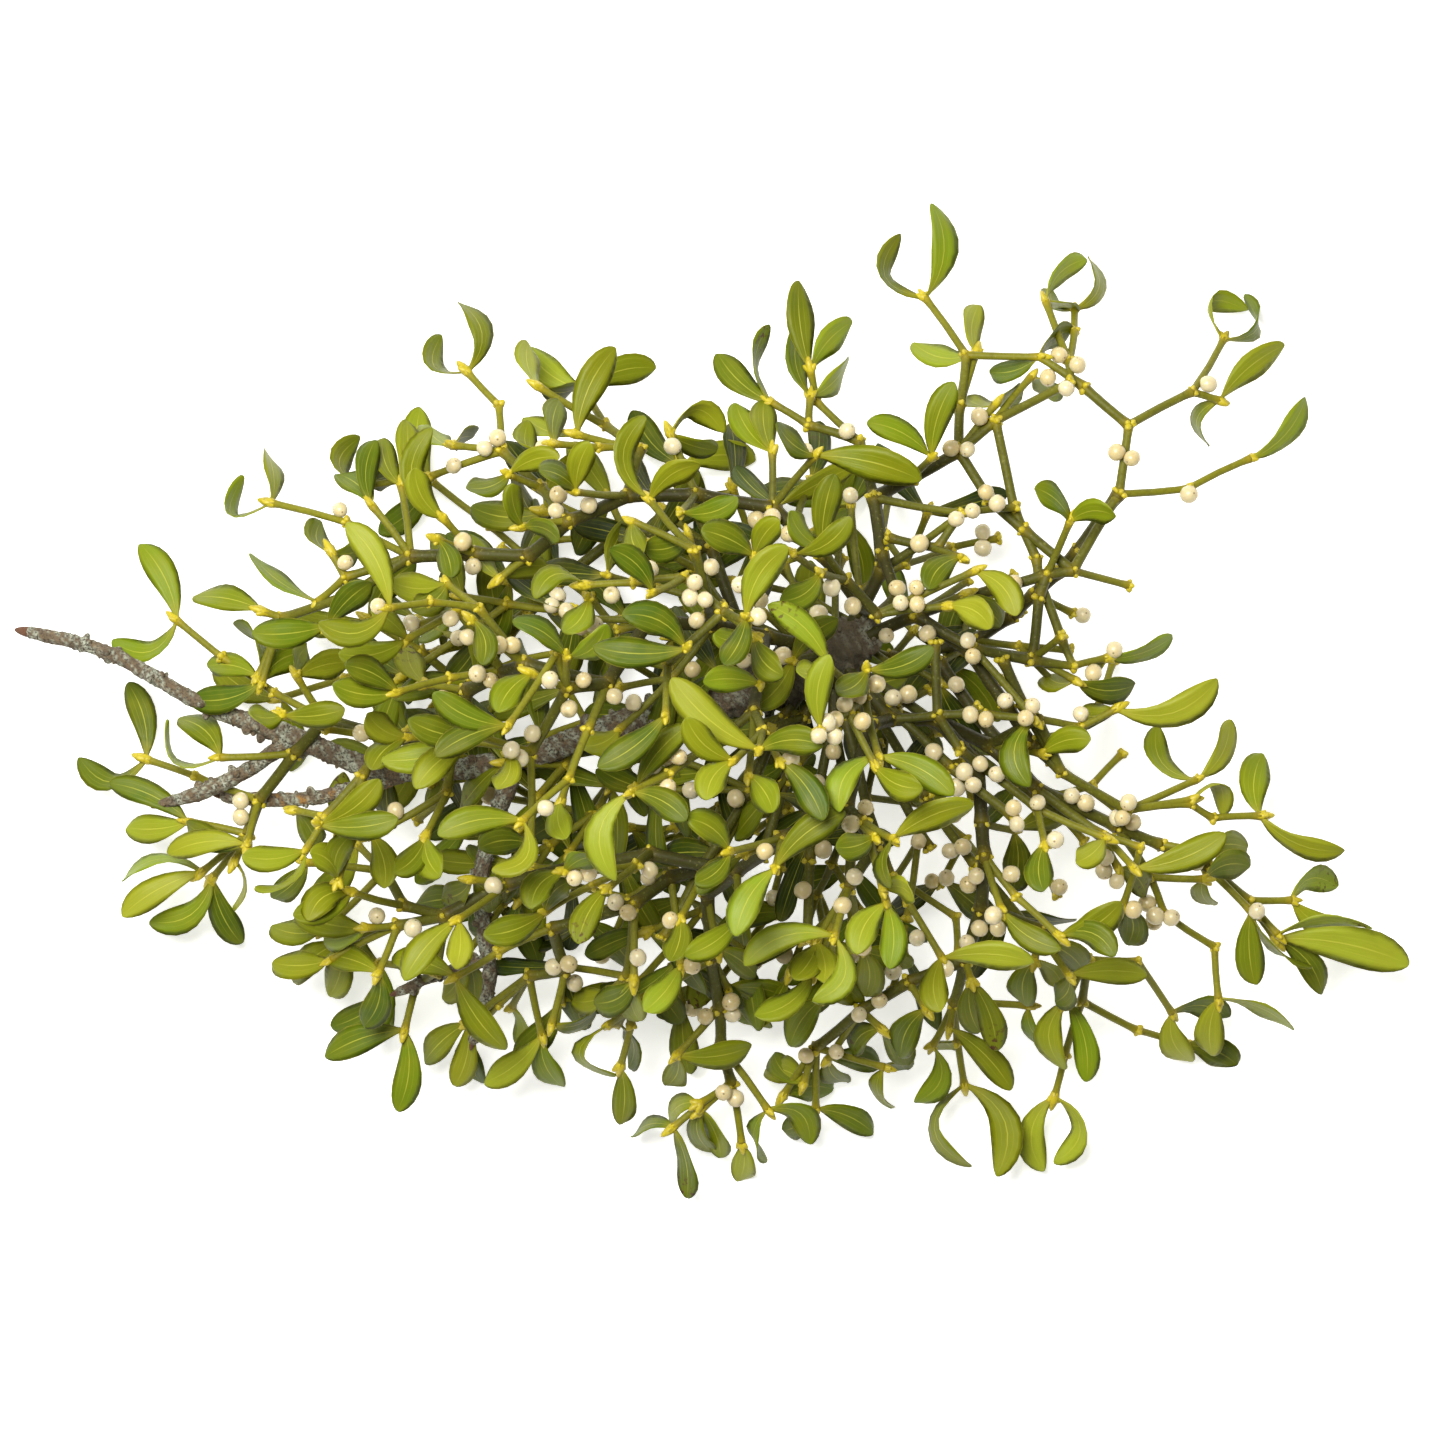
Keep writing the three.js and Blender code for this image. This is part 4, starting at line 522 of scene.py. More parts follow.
# Bare stems on the open side: radius, level in the bunch, then joints in plan from end to end
bareStems = [
    [2.0, 0.62, (140, 136), (149, 95), (160, 70), (161, 60), (172, 31), (179, 19)],
    [2.2, 0.55, (121, 123), (137, 99), (154, 84), (172, 66)],
    [2.7, 0.58, (202, 102), (181, 74), (172, 64), (160, 53), (149, 42), (131, 30), (84, 26)],
    [2.4, 0.5, (78, 102), (84, 72), (91, 51), (84, 34)],
    [1.9, 0.6, (86, 102), (131, 99)],
    [1.9, 0.55, (87, 80), (111, 75), (127, 82)],
    [2.2, 0.5, (159, 21), (161, 51)],
    [2.2, 0.62, (131, 23), (157, 20), (175, 19)],
    [2.7, 0.5, (84, 24), (113, 19), (131, -7), (146, -24), (163, -46)],
    [2.7, 0.5, (100, 40), (128, 23), (145, -2), (157, -21), (171, -40)],
    [2.3, 0.55, (143, 20), (153, -2), (168, -30)],
    [2.0, 0.55, (110, 28), (111, -7), (122, -24)],
    [1.9, 0.58, (94, -9), (111, -7), (135, -7)],
    [1.7, 0.6, (90, -5), (108, 6), (125, 14)],
    [2.1, 0.5, (206, 136), (184, 155), (166, 171)],
]


def between(ends, share):  # first + (second - first) * share
    return ends[0] + (ends[1] - ends[0]) * share


def webEnd(index):  # hub + reach * (cos turn, sin turn), turns fanned out evenly with some chance
    turn = between(inner["webTurn"], (index + 0.7 * chance(index, 41)) / inner["web"])
    reach = between(inner["webReach"], chance(index, 42))
    x, y = hub[0] + reach * np.cos(turn), hub[1] + reach * np.sin(turn)
    return placeOf((x, y, between(inner["webLevel"], chance(index, 43))))


def jointNear(knots, place, ways):  # the joint nearest to a place, in plan for 2 ways
    return 1 + int(np.argmin([np.linalg.norm((knot["at"] - place)[:ways])
                              for knot in knots[1:outerCount]]))


def adopt(knots, pieces, new, owner, radius):  # a finer joint goes with its owner's piece
    knots[new].update(piece=owner.get("piece", 0), limb=owner.get("limb", 1), shoots=1,
                      radius=radius, inner=True)
    pieces[knots[new]["piece"]]["members"].append(new)


# A bare stem meets the joints its ends lie over, and its height runs evenly from end to end
def growBare(knots, pieces):
    for radius, level, *plan in bareStems:
        places = np.array([placeOf((x, y, level)) for x, y in plan[::-1]])
        meets = []
        for end in (0, -1):
            joint = jointNear(knots, places[end], 2)
            at = knots[joint]["at"]
            meets.append(np.linalg.norm((at - places[end])[:2]) < inner["meet"])
            if meets[-1]:
                places[end] = at
        places[:, 2] = np.linspace(places[0, 2], places[-1, 2], len(places))
        parent = jointNear(knots, places[0], 3)
        owner = knots[parent]
        for place in places[int(meets[0]):]:
            parent = addJoint(knots, place, parent)
            adopt(knots, pieces, parent, owner, radius)


# A stem of the web grows joint by joint from the burl and belongs with the bough nearest its end
def growWeb(knots, pieces):
    for index in range(inner["web"]):
        first, end = len(knots), webEnd(index)
        near = int(np.argmin([np.linalg.norm(knot["at"] - end) if knot["parent"] >= 0 else np.inf
                              for knot in knots[:outerCount]]))
        growTo(end, None, knots, 0)
        for new in range(first, len(knots)):
            adopt(knots, pieces, new, knots[near], inner["webRadius"])


def growInner(knots, pieces):  # each finer shoot grows to its tip like any other
    for index in range(inner["shoots"]):
        first = len(knots)
        row, leaves = innerTip(index)
        growTo(placeOf(row), leaves, knots)
        for new in range(first, len(knots)):
            radius = plant["twigRadius"] * (inner["stout"] if knots[new]["kids"] else 1)
            adopt(knots, pieces, new, knots[knots[new]["parent"]], radius)


knots = growPlant()
pieces = sortPieces(knots)
outerCount = len(knots)
growBare(knots, pieces)
growWeb(knots, pieces)
growInner(knots, pieces)
knotAt = np.array([knot["at"] for knot in knots])
knotRadius = np.array([knot["radius"] for knot in knots])
knotParent = np.array([knot["parent"] for knot in knots])
limbOf = np.array([knot.get("limb", 0) for knot in knots])
print("grown:", outerCount, "joints in", len(pieces), "pieces, then", len(knots) - outerCount,
      "inside")


# Quads between neighbouring rings of a closed tube and a fan to a pole at either end; with the
# quads and fans go the (around, along) shares of their corners. Poles follow the rings
def ringFaces(rows, sides):
    r, c = (g.ravel() for g in np.meshgrid(np.arange(rows - 1), np.arange(sides), indexing="ij"))
    a, b = r * sides + c, r * sides + (c + 1) % sides
    quads = np.column_stack([a, b, b + sides, a + sides])
    quadShares = np.stack([np.column_stack([c, r]), np.column_stack([c + 1, r]),
                           np.column_stack([c + 1, r + 1]), np.column_stack([c, r + 1])], axis=1)
    k = np.arange(sides)
    first, last, end = rows * sides, rows * sides + 1, (rows - 1) * sides
    fans = np.concatenate([np.column_stack([np.full(sides, first), (k + 1) % sides, k]),
                           np.column_stack([np.full(sides, last), end + k, end + (k + 1) % sides])])
    fanShares = np.stack([np.column_stack([k + 0.5, 0 * k]), np.column_stack([k + 1, 0 * k]),
                          np.column_stack([k, 0 * k])], axis=1)
    lastShares = np.stack([np.column_stack([k + 0.5, 0 * k + rows - 1]),
                           np.column_stack([k, 0 * k + rows - 1]),
                           np.column_stack([k + 1, 0 * k + rows - 1])], axis=1)
    size = np.array([sides, rows - 1])
    return quads, quadShares / size, fans, np.concatenate([fanShares, lastShares]) / size


def layOut(places, *faceSets):  # the same faces and corner shares for every shape of the places
    count, stride = places.shape[:2]
    start = stride * np.arange(count)[:, None, None]
    return [((faces[None] + start).reshape(-1, faces.shape[1]), np.tile(shares, (count, 1, 1)))
            for faces, shares in faceSets]


def unit(v):  # v over its length
    return v / np.maximum(np.linalg.norm(v, axis=-1, keepdims=True), 1e-9)


def acrossOf(axes):  # two directions square to each axis and to each other
    spare = np.where(np.abs(axes[:, 2:]) > 0.9, [[1.0, 0, 0]], [[0, 0, 1.0]])
    u = unit(np.cross(spare, axes))
    return u, np.cross(axes, u)


def hashes(count, use):  # repeatable numbers from 0 to 1, one per item
    return chance(np.arange(count) + 1, use)


# Places along tubes: centre(t) + radius(t) * (u cos angle + v sin angle), then both poles
def ringPlaces(centres, radii, u, v, sides):
    angle = np.arange(sides) / sides * 2 * np.pi
    spoke = (u[:, None, None] * np.cos(angle)[:, None]
             + v[:, None, None] * np.sin(angle)[:, None])
    rings = centres[:, :, None] + radii[..., None, None] * spoke
    flat = rings.reshape(len(centres), centres.shape[1] * sides, 3)
    return np.concatenate([flat, centres[:, :1], centres[:, -1:]], axis=1)


triangleCounts = {}


def put(name, data):  # an object of the data, at the origin of the scene
    thing = bpy.data.objects.new(name, data)
    bpy.context.scene.collection.objects.link(thing)
    return thing


# faceSets holds (faces, corner shares) pairs; values holds one number per vertex by name
def makePiece(name, places, faceSets, values, material, nodes):
    mesh = bpy.data.meshes.new(name)
    co = (places.reshape(-1, 3) + rowShift) * 0.001
    sizes = np.concatenate([np.full(len(f), f.shape[1]) for f, _ in faceSets])
    corners = np.concatenate([f.ravel() for f, _ in faceSets]).astype(np.int32)
    triangleCounts[name] = int((sizes - 2).sum())
    mesh.vertices.add(len(co))
    mesh.vertices.foreach_set("co", co.astype(np.float32).ravel())
    mesh.loops.add(len(corners))
    mesh.loops.foreach_set("vertex_index", corners)
    mesh.polygons.add(len(sizes))
    mesh.polygons.foreach_set("loop_start", (np.cumsum(sizes) - sizes).astype(np.int32))
    mesh.polygons.foreach_set("use_smooth", np.ones(len(sizes), bool))
    mesh.update(calc_edges=True)
    shares = np.concatenate([s.reshape(-1, 2) for _, s in faceSets]).astype(np.float32)
    mesh.uv_layers.new(name="UVMap").data.foreach_set("uv", shares.ravel())
    for key, numbers in values.items():
        layer = mesh.attributes.new(key, "FLOAT", "POINT")
        layer.data.foreach_set("value", np.asarray(numbers, np.float32).ravel())
    mesh.materials.append(material)
    piece = put(name, mesh)
    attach(piece, "root")
    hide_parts(*nodes)


# Rings carried along a path without a twist: each facing is the last one made square to the path
def sweepPath(path, radii, sides):
    ahead = np.vstack([path[1:], path[-1:]])
    behind = np.vstack([path[:1], path[:-1]])
    axes = unit(ahead - behind)
    facing, rings = np.array([0.36, 0.48, 0.8]), []
    angle = np.arange(sides) / sides * 2 * np.pi
    for centre, axis, radius in zip(path, axes, radii):
        facing = unit(facing - facing.dot(axis) * axis)
        across = np.cross(axis, facing)
        spoke = np.outer(np.cos(angle), facing) + np.outer(np.sin(angle), across)
        rings.append(centre + spoke * np.reshape(radius, (-1, 1)))
    return np.array(rings)


hostCorners = []
for i, limb in enumerate(hostLimbs):
    limb, sides = np.array(limb, float), (6 if i else 7)
    hostCorners.append(sweepPath(limb[:, :3], limb[:, 3] * (1 + 1.1 / sides), sides).reshape(-1, 3))
hostLow = np.concatenate(hostCorners).min(axis=0)
rowShift = np.array(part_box("host_branch")[0]) * 1000 - hostLow  # growth frame to part frame, mm
floorLevel = -rowShift[2]
print("growth frame sits at", np.round(rowShift, 2))

heldDown = 0.7  # the light is bright enough to turn the floor white


def tint(r, g, b):  # screen colour to the linear colour a shader takes, held down for the light
    c = np.array([r, g, b]) / 255
    return (*(heldDown * np.where(c <= 0.04045, c / 12.92, ((c + 0.055) / 1.055) ** 2.4)), 1)


class Finish:  # a material and short ways to wire its nodes
    def __init__(self, name):
        self.material = bpy.data.materials.new(name)
        self.material.use_nodes = True
        self.tree = self.material.node_tree
        self.shader = self.tree.nodes["Principled BSDF"]

    def node(self, kind, inputs=(), **settings):
        made = self.tree.nodes.new("ShaderNode" + kind)
        for key, value in settings.items():
            setattr(made, key, value)
        for key, value in dict(inputs).items():
            self.feed(made.inputs[key], value)
        return made

    def feed(self, socket, value):
        if isinstance(value, bpy.types.NodeSocket):
            self.tree.links.new(value, socket)
        else:
            socket.default_value = value

    def give(self, values):  # values or colours of the shader's own sockets
        for key, value in values.items():
            self.feed(self.shader.inputs[key], value)

    def math(self, operation, *values):
        inputs = dict(enumerate(values))
        return self.node("Math", inputs, operation=operation).outputs[0]

    def times(self, first, second):
        return self.math("MULTIPLY", first, second)

    def plus(self, first, second):
        return self.math("ADD", first, second)

    def apart(self, value, place):  # distance of a value from a place
        return self.math("ABSOLUTE", self.math("SUBTRACT", value, place))

    def mix(self, share, first, second, blend="MIX"):
        made = self.node("Mix", data_type="RGBA", blend_type=blend)
        self.feed(made.inputs[0], share)
        self.feed(made.inputs[6], first)
        self.feed(made.inputs[7], second)
        return made.outputs[2]

    def ramp(self, share, stops):
        made = self.node("ValToRGB", {"Fac": share})
        elements = made.color_ramp.elements
        while len(elements) < len(stops):
            elements.new(0.5)
        for element, (place, colour) in zip(elements, stops):
            element.position, element.color = place, colour
        return made.outputs[0]

    def noise(self, scale, detail=3.0, roughness=0.5):
        place = self.node("TexCoord").outputs["Object"]
        return self.node("TexNoise", {"Vector": place, "Scale": scale, "Detail": detail,
                                                "Roughness": roughness}).outputs["Fac"]

    def value(self, name):
        return self.node("Attribute", attribute_name=name).outputs["Fac"]

    def across(self):  # the around or across share, and the along share
        split = self.node("SeparateXYZ",
                          {"Vector": self.node("UVMap", uv_map="UVMap").outputs[0]})
        return split.outputs[0], split.outputs[1]

    def span(self, value, low, high):  # 0 at low rising to 1 at high
        return self.node("MapRange", {"Value": value, "From Min": low,
                                                "From Max": high}).outputs[0]

    def streaks(self, crosswise, lengthwise):  # noise drawn out along a leaf
        place = self.node("CombineXYZ", {
            0: self.times(self.value("across"), crosswise),
            1: self.times(self.value("along"), lengthwise * 4),
            2: self.times(self.value("tone"), 90)}).outputs[0]
        return self.node("TexNoise", {"Vector": place, "Scale": 1.0,
                                                "Detail": 2.0}).outputs["Fac"]

    def line(self, distance, width):  # 1 on a line, falling to 0 at its width
        return self.node("MapRange", {"Value": distance, "From Min": width * 0.25,
                                                "From Max": width, "To Min": 1.0, "To Max": 0.0},
                         interpolation_type="SMOOTHSTEP").outputs[0]

    def bump(self, height, strength, distance):
        made = self.node("Bump", {"Height": height, "Strength": strength,
                                            "Distance": distance})
        self.feed(self.shader.inputs["Normal"], made.outputs[0])


def leafFinish():  # green by tone, which holds painted light and painted shade, with veins, a pale rim and foot, and brown spots on a few
    f = Finish("waxyLeaf")
    tone, worn = f.value("tone"), f.value("worn")
    side, run = f.math("ABSOLUTE", f.value("across")), f.value("along")
    colour = f.ramp(tone, [(0, tint(44, 56, 6)), (0.3, tint(98, 112, 12)),
                           (0.62, tint(154, 160, 20)), (1, tint(196, 200, 58))])
    colour = f.mix(f.times(f.value("green"), 0.85), colour, (0.7, 0.98, 1, 1), "MULTIPLY")
    blotch = f.span(f.noise(60, 2.0), 0.42, 0.72)
    colour = f.mix(f.times(blotch, 0.3), colour, tint(168, 162, 28))
    streak = f.streaks(26, 1.6)
    colour = f.mix(0.25, colour, f.mix(streak, tint(88, 96, 36), tint(200, 202, 84)), "OVERLAY")
    mid = f.line(side, 0.055)
    laterals = f.line(f.apart(side, 0.36), 0.04)
    outer = f.line(f.apart(side, 0.66), 0.035)
    veins = f.math("MAXIMUM", mid, f.times(f.math("MAXIMUM", laterals, outer), 0.22))
    veins = f.times(veins, f.span(run, 1.0, 0.62))
    colour = f.mix(f.times(veins, 0.55), colour, tint(214, 212, 76))
    rim = f.span(side, 0.9, 1.0)
    colour = f.mix(f.times(rim, 0.55), colour, tint(208, 200, 76))
    foot = f.span(run, 0.24, 0.0)
    colour = f.mix(f.times(foot, 0.7), colour, tint(176, 164, 42))
    spots = f.times(f.times(f.span(f.noise(330, 3.0), 0.55, 0.62), worn), f.span(run, 0.55, 0.9))
    colour = f.mix(spots, colour, tint(92, 62, 30))
    fine = f.noise(900, 3.0)
    f.give({"Base Color": colour, "Roughness": f.plus(f.times(fine, 0.16), 0.36),
            "Specular IOR Level": 0.22})
    height = f.plus(f.times(veins, 0.5), f.times(streak, 0.7))
    f.bump(f.plus(height, f.times(fine, 0.25)), 0.4, 0.0005)
    return f.material


def stemFinish():  # yellow-green darkening with age and with painted shade near the burl, paler at joints, with brown scurf
    f = Finish("greenStem")
    ageAndShade, joint = f.value("ageAndShade"), f.value("joint")
    colour = f.ramp(ageAndShade, [(0, tint(172, 168, 34)), (0.35, tint(126, 126, 26)),
                          (0.75, tint(88, 90, 24)), (1, tint(60, 58, 20))])
    patchy = f.noise(85, 3.0)
    colour = f.mix(f.times(patchy, 0.55), colour, tint(76, 76, 24))
    colour = f.mix(f.times(joint, 0.75), colour, tint(204, 178, 26))
    scurf = f.noise(560, 4.0, 0.6)
    dark = f.times(f.span(scurf, 0.54, 0.7), f.plus(0.2, f.times(ageAndShade, 0.6)))
    colour = f.mix(dark, colour, tint(72, 56, 30))
    pale = f.times(f.span(scurf, 0.4, 0.3), 0.35)
    colour = f.mix(pale, colour, tint(176, 172, 96))
    f.give({"Base Color": colour, "Roughness": f.plus(f.times(scurf, 0.25), 0.4),
            "Specular IOR Level": 0.22})
    f.bump(f.plus(patchy, scurf), 0.5, 0.0006)
    return f.material


def budFinish():  # clouded gold with brown grain
    f = Finish("goldenBud")
    grain, cloud = f.noise(620, 3.0, 0.6), f.noise(150, 2.0)
    colour = f.mix(cloud, tint(196, 176, 24), tint(232, 214, 40))
    colour = f.mix(f.times(f.span(grain, 0.52, 0.66), 0.4), colour, tint(140, 116, 38))
    f.give({"Base Color": colour, "Roughness": f.plus(f.times(grain, 0.25), 0.36)})
    f.bump(grain, 0.45, 0.0005)
    return f.material


def berryFinish():  # clouded pearl, with a dark tip and four marks round it
    f = Finish("pearlBerry")
    u, polar = f.across()[0], f.value("polar")
    colour = f.mix(f.value("ripe"), tint(240, 220, 162), tint(253, 242, 204))
    cloud = f.noise(240, 2.0)
    colour = f.mix(f.times(cloud, 0.35), colour, tint(216, 196, 136))
    foot = f.span(polar, 0.16, 0.0)
    colour = f.mix(f.times(foot, 0.8), colour, tint(150, 132, 60))
    tip = f.line(f.math("SUBTRACT", 1.0, polar), 0.05)
    quarter = f.apart(f.math("FRACT", f.times(u, 4.0)), 0.5)
    marks = f.times(f.line(quarter, 0.13), f.line(f.apart(polar, 0.9), 0.02))
    spots = f.math("MAXIMUM", tip, f.times(marks, 0.3))
    colour = f.mix(f.times(spots, 0.75), colour, tint(112, 84, 46))
    f.give({"Base Color": colour, "Roughness": f.plus(f.times(cloud, 0.14), 0.2),
            "Subsurface Weight": 0.55, "Subsurface Radius": (1.0, 0.75, 0.4),
            "Subsurface Scale": 0.003})
    f.bump(f.plus(cloud, f.times(spots, -0.6)), 0.2, 0.0005)
    return f.material


def barkFinish():  # cracked brown bark under patches of pale and of rust-coloured lichen
    f = Finish("lichenedBark")
    lichen, rust, burl, bud = (f.value(name) for name in ("lichen", "rust", "burl", "bud"))
    broad, fine, speck = f.noise(140, 4.0, 0.6), f.noise(900, 4.0, 0.65), f.noise(1500, 2.0)
    colour = f.mix(broad, tint(98, 82, 62), tint(144, 126, 98))
    cracks = f.span(fine, 0.52, 0.38)
    colour = f.mix(f.times(cracks, 0.75), colour, tint(62, 50, 42))
    colour = f.mix(burl, colour, f.mix(fine, tint(46, 40, 26), tint(122, 110, 84)))
    crust = f.mix(speck, tint(170, 178, 152), tint(226, 228, 208))
    bare = f.math("SUBTRACT", 1.0, f.times(burl, 0.85))
    patch = f.times(f.times(lichen, bare), f.span(fine, 0.36, 0.5))
    colour = f.mix(patch, colour, crust)
    rusty = f.mix(speck, tint(148, 96, 40), tint(196, 148, 66))
    colour = f.mix(f.times(rust, f.span(fine, 0.4, 0.56)), colour, rusty)
    colour = f.mix(bud, colour, f.mix(fine, tint(92, 58, 42), tint(138, 96, 68)))
    f.give({"Base Color": colour, "Roughness": f.plus(f.times(fine, 0.2), 0.74)})
    rise = f.plus(f.times(fine, 0.8), f.times(patch, 0.7))
    f.bump(f.plus(rise, broad), 0.9, 0.0011)
    return f.material


waxyLeaf, greenStem, goldenBud, pearlBerry, lichenedBark = (
    leafFinish(), stemFinish(), budFinish(), berryFinish(), barkFinish())
print("finishes made")

leafLook = {
    "along": (0.01, 0.07, 0.15, 0.25, 0.37, 0.5, 0.62, 0.73, 0.83, 0.91, 0.96, 0.99),
    "across": (-1, -0.5, 0, 0.5, 1, 0.5, 0, -0.5),  # once round a blade, under it then over it
    "over": (0, -1, -1, -1, 0, 1, 1, 1),
    "thickness": 0.78,
    "slender": 0.96,
    "cup": 0.13,  # how far the edges rise, as a share of the half width
    "twist": 36,  # degrees a blade may twist from base to tip
    "level": 0.4,  # share of its length where it isn't twisted
    "narrowest": 0.88,  # share of its width that the narrowest has, and how much more by chance
    "wider": 0.24,
    "waves": 9,  # radians of ripple along an edge
    "clear": 0.7,  # mm over the surface, at least
    "ripple": 0.85,
    "stalk": 1.1,  # how much thicker a blade is where it leaves the stem
    "tone": 0.34,  # 0 dark to 1 bright, then what height, outness, chance and the inside add; height and outness add painted light, the inside painted shade
    # painted light: upper leaves and leaves nearer the rim are made brighter
    "heightPaintedLight": 0.14,
    "rimPaintedLight": 0.2,
    "toneChance": 0.56,
    "toneMiddle": 0.45,
    "topHeight": 220,
    # painted shade: leaves of the inner shoots are made darker, partly for their older growth
    "insidePaintedShade": -0.2,
    "sound": 0.965,  # share of leaves without brown spots
}


# Half width share at t: t to the 0.9 times a blunt tip, (1 - t squared) to the 0.65, over its peak
def bladeShare(t):
    return np.maximum(t**0.9 * (1 - t**2) ** 0.65 / 0.476, 0.15)


# Blade places: curve(t) + across * half width(t) * s, edges cupped by s squared and rippled, with
# half the thickness times the root of (1 - s squared) to either side, made stouter at the foot by
# (1 - t) to the 8; the across and face directions turn about the curve by the leaf's turn and a
# twist
def bladePlaces(leaves, seed):
    t, s, over = (np.array(leafLook[key], float) for key in ("along", "across", "over"))
    centre = alongCurves(leaves, t)
    base, handle, end = (leaves[key][:, None] for key in ("base", "handle", "end"))
    step = t[None, :, None]
    along = unit(2 * (1 - step) * (handle - base) + 2 * step * (end - handle))
    face = unit(np.cross(along, leaves["side"][:, None]))
    flat = np.cross(face, along)
    twist = np.radians(leafLook["twist"]) * (2 * seed[:, None] - 1) * (t - leafLook["level"])
    angle = (leaves["turn"][:, None] + twist)[..., None]
    flat, face = (flat * np.cos(angle) + face * np.sin(angle),
                  face * np.cos(angle) - flat * np.sin(angle))
    slender = leafLook["slender"] * (leafLook["narrowest"] + leafLook["wider"] * seed[:, None])
    half = (leaves["width"][:, None] / 2 * slender * bladeShare(t))[:, :, None, None]
    s = s[None, None, :, None]
    start = 6.3 * seed[:, None, None, None]
    wave = np.sin(leafLook["waves"] * step[..., None] + start + 2 * s) * s**2
    stout = 1 + leafLook["stalk"] * (1 - step[..., None]) ** 8
    wall = over[None, None, :, None] * leafLook["thickness"] / 2 * stout * np.sqrt(1 - s**2)
    lift = leafLook["cup"] * half * (s**2 - 0.35) + leafLook["ripple"] * wave + wall
    places = centre[:, :, None] + flat[:, :, None] * half * s + face[:, :, None] * lift
    tips = alongCurves(leaves, np.array([0.0, 1.0]))
    places = np.concatenate([places.reshape(len(seed), -1, 3), tips], axis=1)
    places[..., 2] = np.maximum(places[..., 2], floorLevel + leafLook["clear"])
    return places


def leafSet(piece):  # curves of every leaf of a piece, and 1 for each that is inside the bunch
    bases, levels, rows, inside = [], [], [], []
    for index in piece["members"]:
        knot = knots[index]
        if knot["leaves"]:
            level, row = leafRows(knot["leaves"])
            bases += [knot["at"]] * len(row)
            levels += level
            rows += row.tolist()
            inside += [knot.get("inner", False)] * len(row)
    if not rows:
        return None
    return leafCurves(np.array(bases), levels, rows), np.array(inside, float)


def leafPieces():  # one piece of blades for every node with leaves
    rows, sides = len(leafLook["along"]), len(leafLook["across"])
    run = np.concatenate([np.repeat(leafLook["along"], sides), [0, 1]])
    side = np.concatenate([np.tile(leafLook["across"], rows), [0, 0]])
    tops, count = [], 0
    for piece in pieces:
        found = leafSet(piece)
        if not found:
            continue
        curves, inside = found
        ends = curves["end"]
        seed = chance(ends[:, 0] + 3 * ends[:, 1], 4)
        other = chance(ends[:, 1] + 5 * ends[:, 0], 7)
        places = bladePlaces(curves, seed)
        total, stride = places.shape[:2]
        out = np.hypot(*((ends[:, :2] - plant["middle"]) / plant["halfSize"]).T)
        # tone is chance plus painted light for height and nearness to the rim, and painted shade on
        # the inner shoots
        tone = (leafLook["tone"] + leafLook["heightPaintedLight"] * ends[:, 2] / leafLook["topHeight"]
                + leafLook["rimPaintedLight"] * out
                + leafLook["toneChance"] * (other - leafLook["toneMiddle"])
                + leafLook["insidePaintedShade"] * inside)
        worn = (chance(ends[:, 0] * 2 + ends[:, 1], 9) > leafLook["sound"]).astype(float)
        green = chance(ends[:, 0] + 7 * ends[:, 1], 13) ** 2
        values = {"tone": np.repeat(np.clip(tone, 0, 1), stride), "worn": np.repeat(worn, stride),
                  "green": np.repeat(green, stride),
                  "along": np.tile(run, total), "across": np.tile(side, total)}
        makePiece(piece["node"] + "_leaves", places, bladePart(places, rows, sides), values,
                  waxyLeaf, [piece["node"]])
        tops.append(places.reshape(-1, 3))
        count += total
    print("leaves:", count)
    return np.concatenate(tops)


# A blade's quads cut in two along the same line on top as underneath, so a twist can't show through
def bladePart(places, rows, sides):
    quads, quadShares, fans, fanShares = ringFaces(rows, sides)
    over = (np.arange(len(quads)) % sides >= sides // 2)[:, None, None]
    pick = np.where(over, [[[0, 1, 3], [1, 2, 3]]], [[[0, 1, 2], [0, 2, 3]]])
    each = np.arange(len(quads))[:, None, None]
    triangles = quads[each, pick].reshape(-1, 3)
    shares = quadShares[each, pick].reshape(-1, 3, 2)
    return layOut(places, (triangles, shares), (fans, fanShares))


def lumpPart(places, rows, sides):  # faces of closed rings with a fan to either pole
    quads, quadShares, fans, fanShares = ringFaces(rows, sides)
    return layOut(places, (quads, quadShares), (fans, fanShares))


leafTops = leafPieces()

stemLook = {
    "sides": 8,
    "thickest": 3.3,
    "girth": 1.16,  # stem radius over the frame's
    "swell": 0.26,  # thickening at a joint
    "reach": 3.2,  # mm a swelling runs along the stem
    "bow": 0.02,  # sideways bow of a year's growth over its length
    "oldShadedReach": 150,  # mm from the burl within which stems look older, partly as painted shade
    "oldShadedShare": 0.6,
    "ageSpan": 2.2,  # mm of radius over which a stem goes from young to old
    "youngTube": 1.45,  # radius of the youngest, along a stem and at its joints
    "youngJoint": 1.6,
    "knuckle": 1.12,  # radius of the lump at a joint over its stem's, and its length over that
    "knuckleLong": 1.25,
    "budLength": 3.5,
    "budRadius": 2.3,
    "budTurns": (0, 1.4, 2.9, 4.6),  # radians round a joint where its lumps sit
}


# Age from 0 to 1: (radius - young) / span, and more the nearer to the burl, partly as painted shade
# on the stems in the middle of the bunch
def ageAndShadeOf(radii, places, young):
    near = 1 - np.linalg.norm(places - hub, axis=-1) / stemLook["oldShadedReach"]
    # painted shade: stems near the burl, in the middle of the bunch, are made older and so darker,
    # partly standing for older wood
    olderAndShaded = stemLook["oldShadedShare"] * np.clip(near, 0, 1)
    return np.clip((radii - young) / stemLook["ageSpan"] + olderAndShaded, 0, 1)


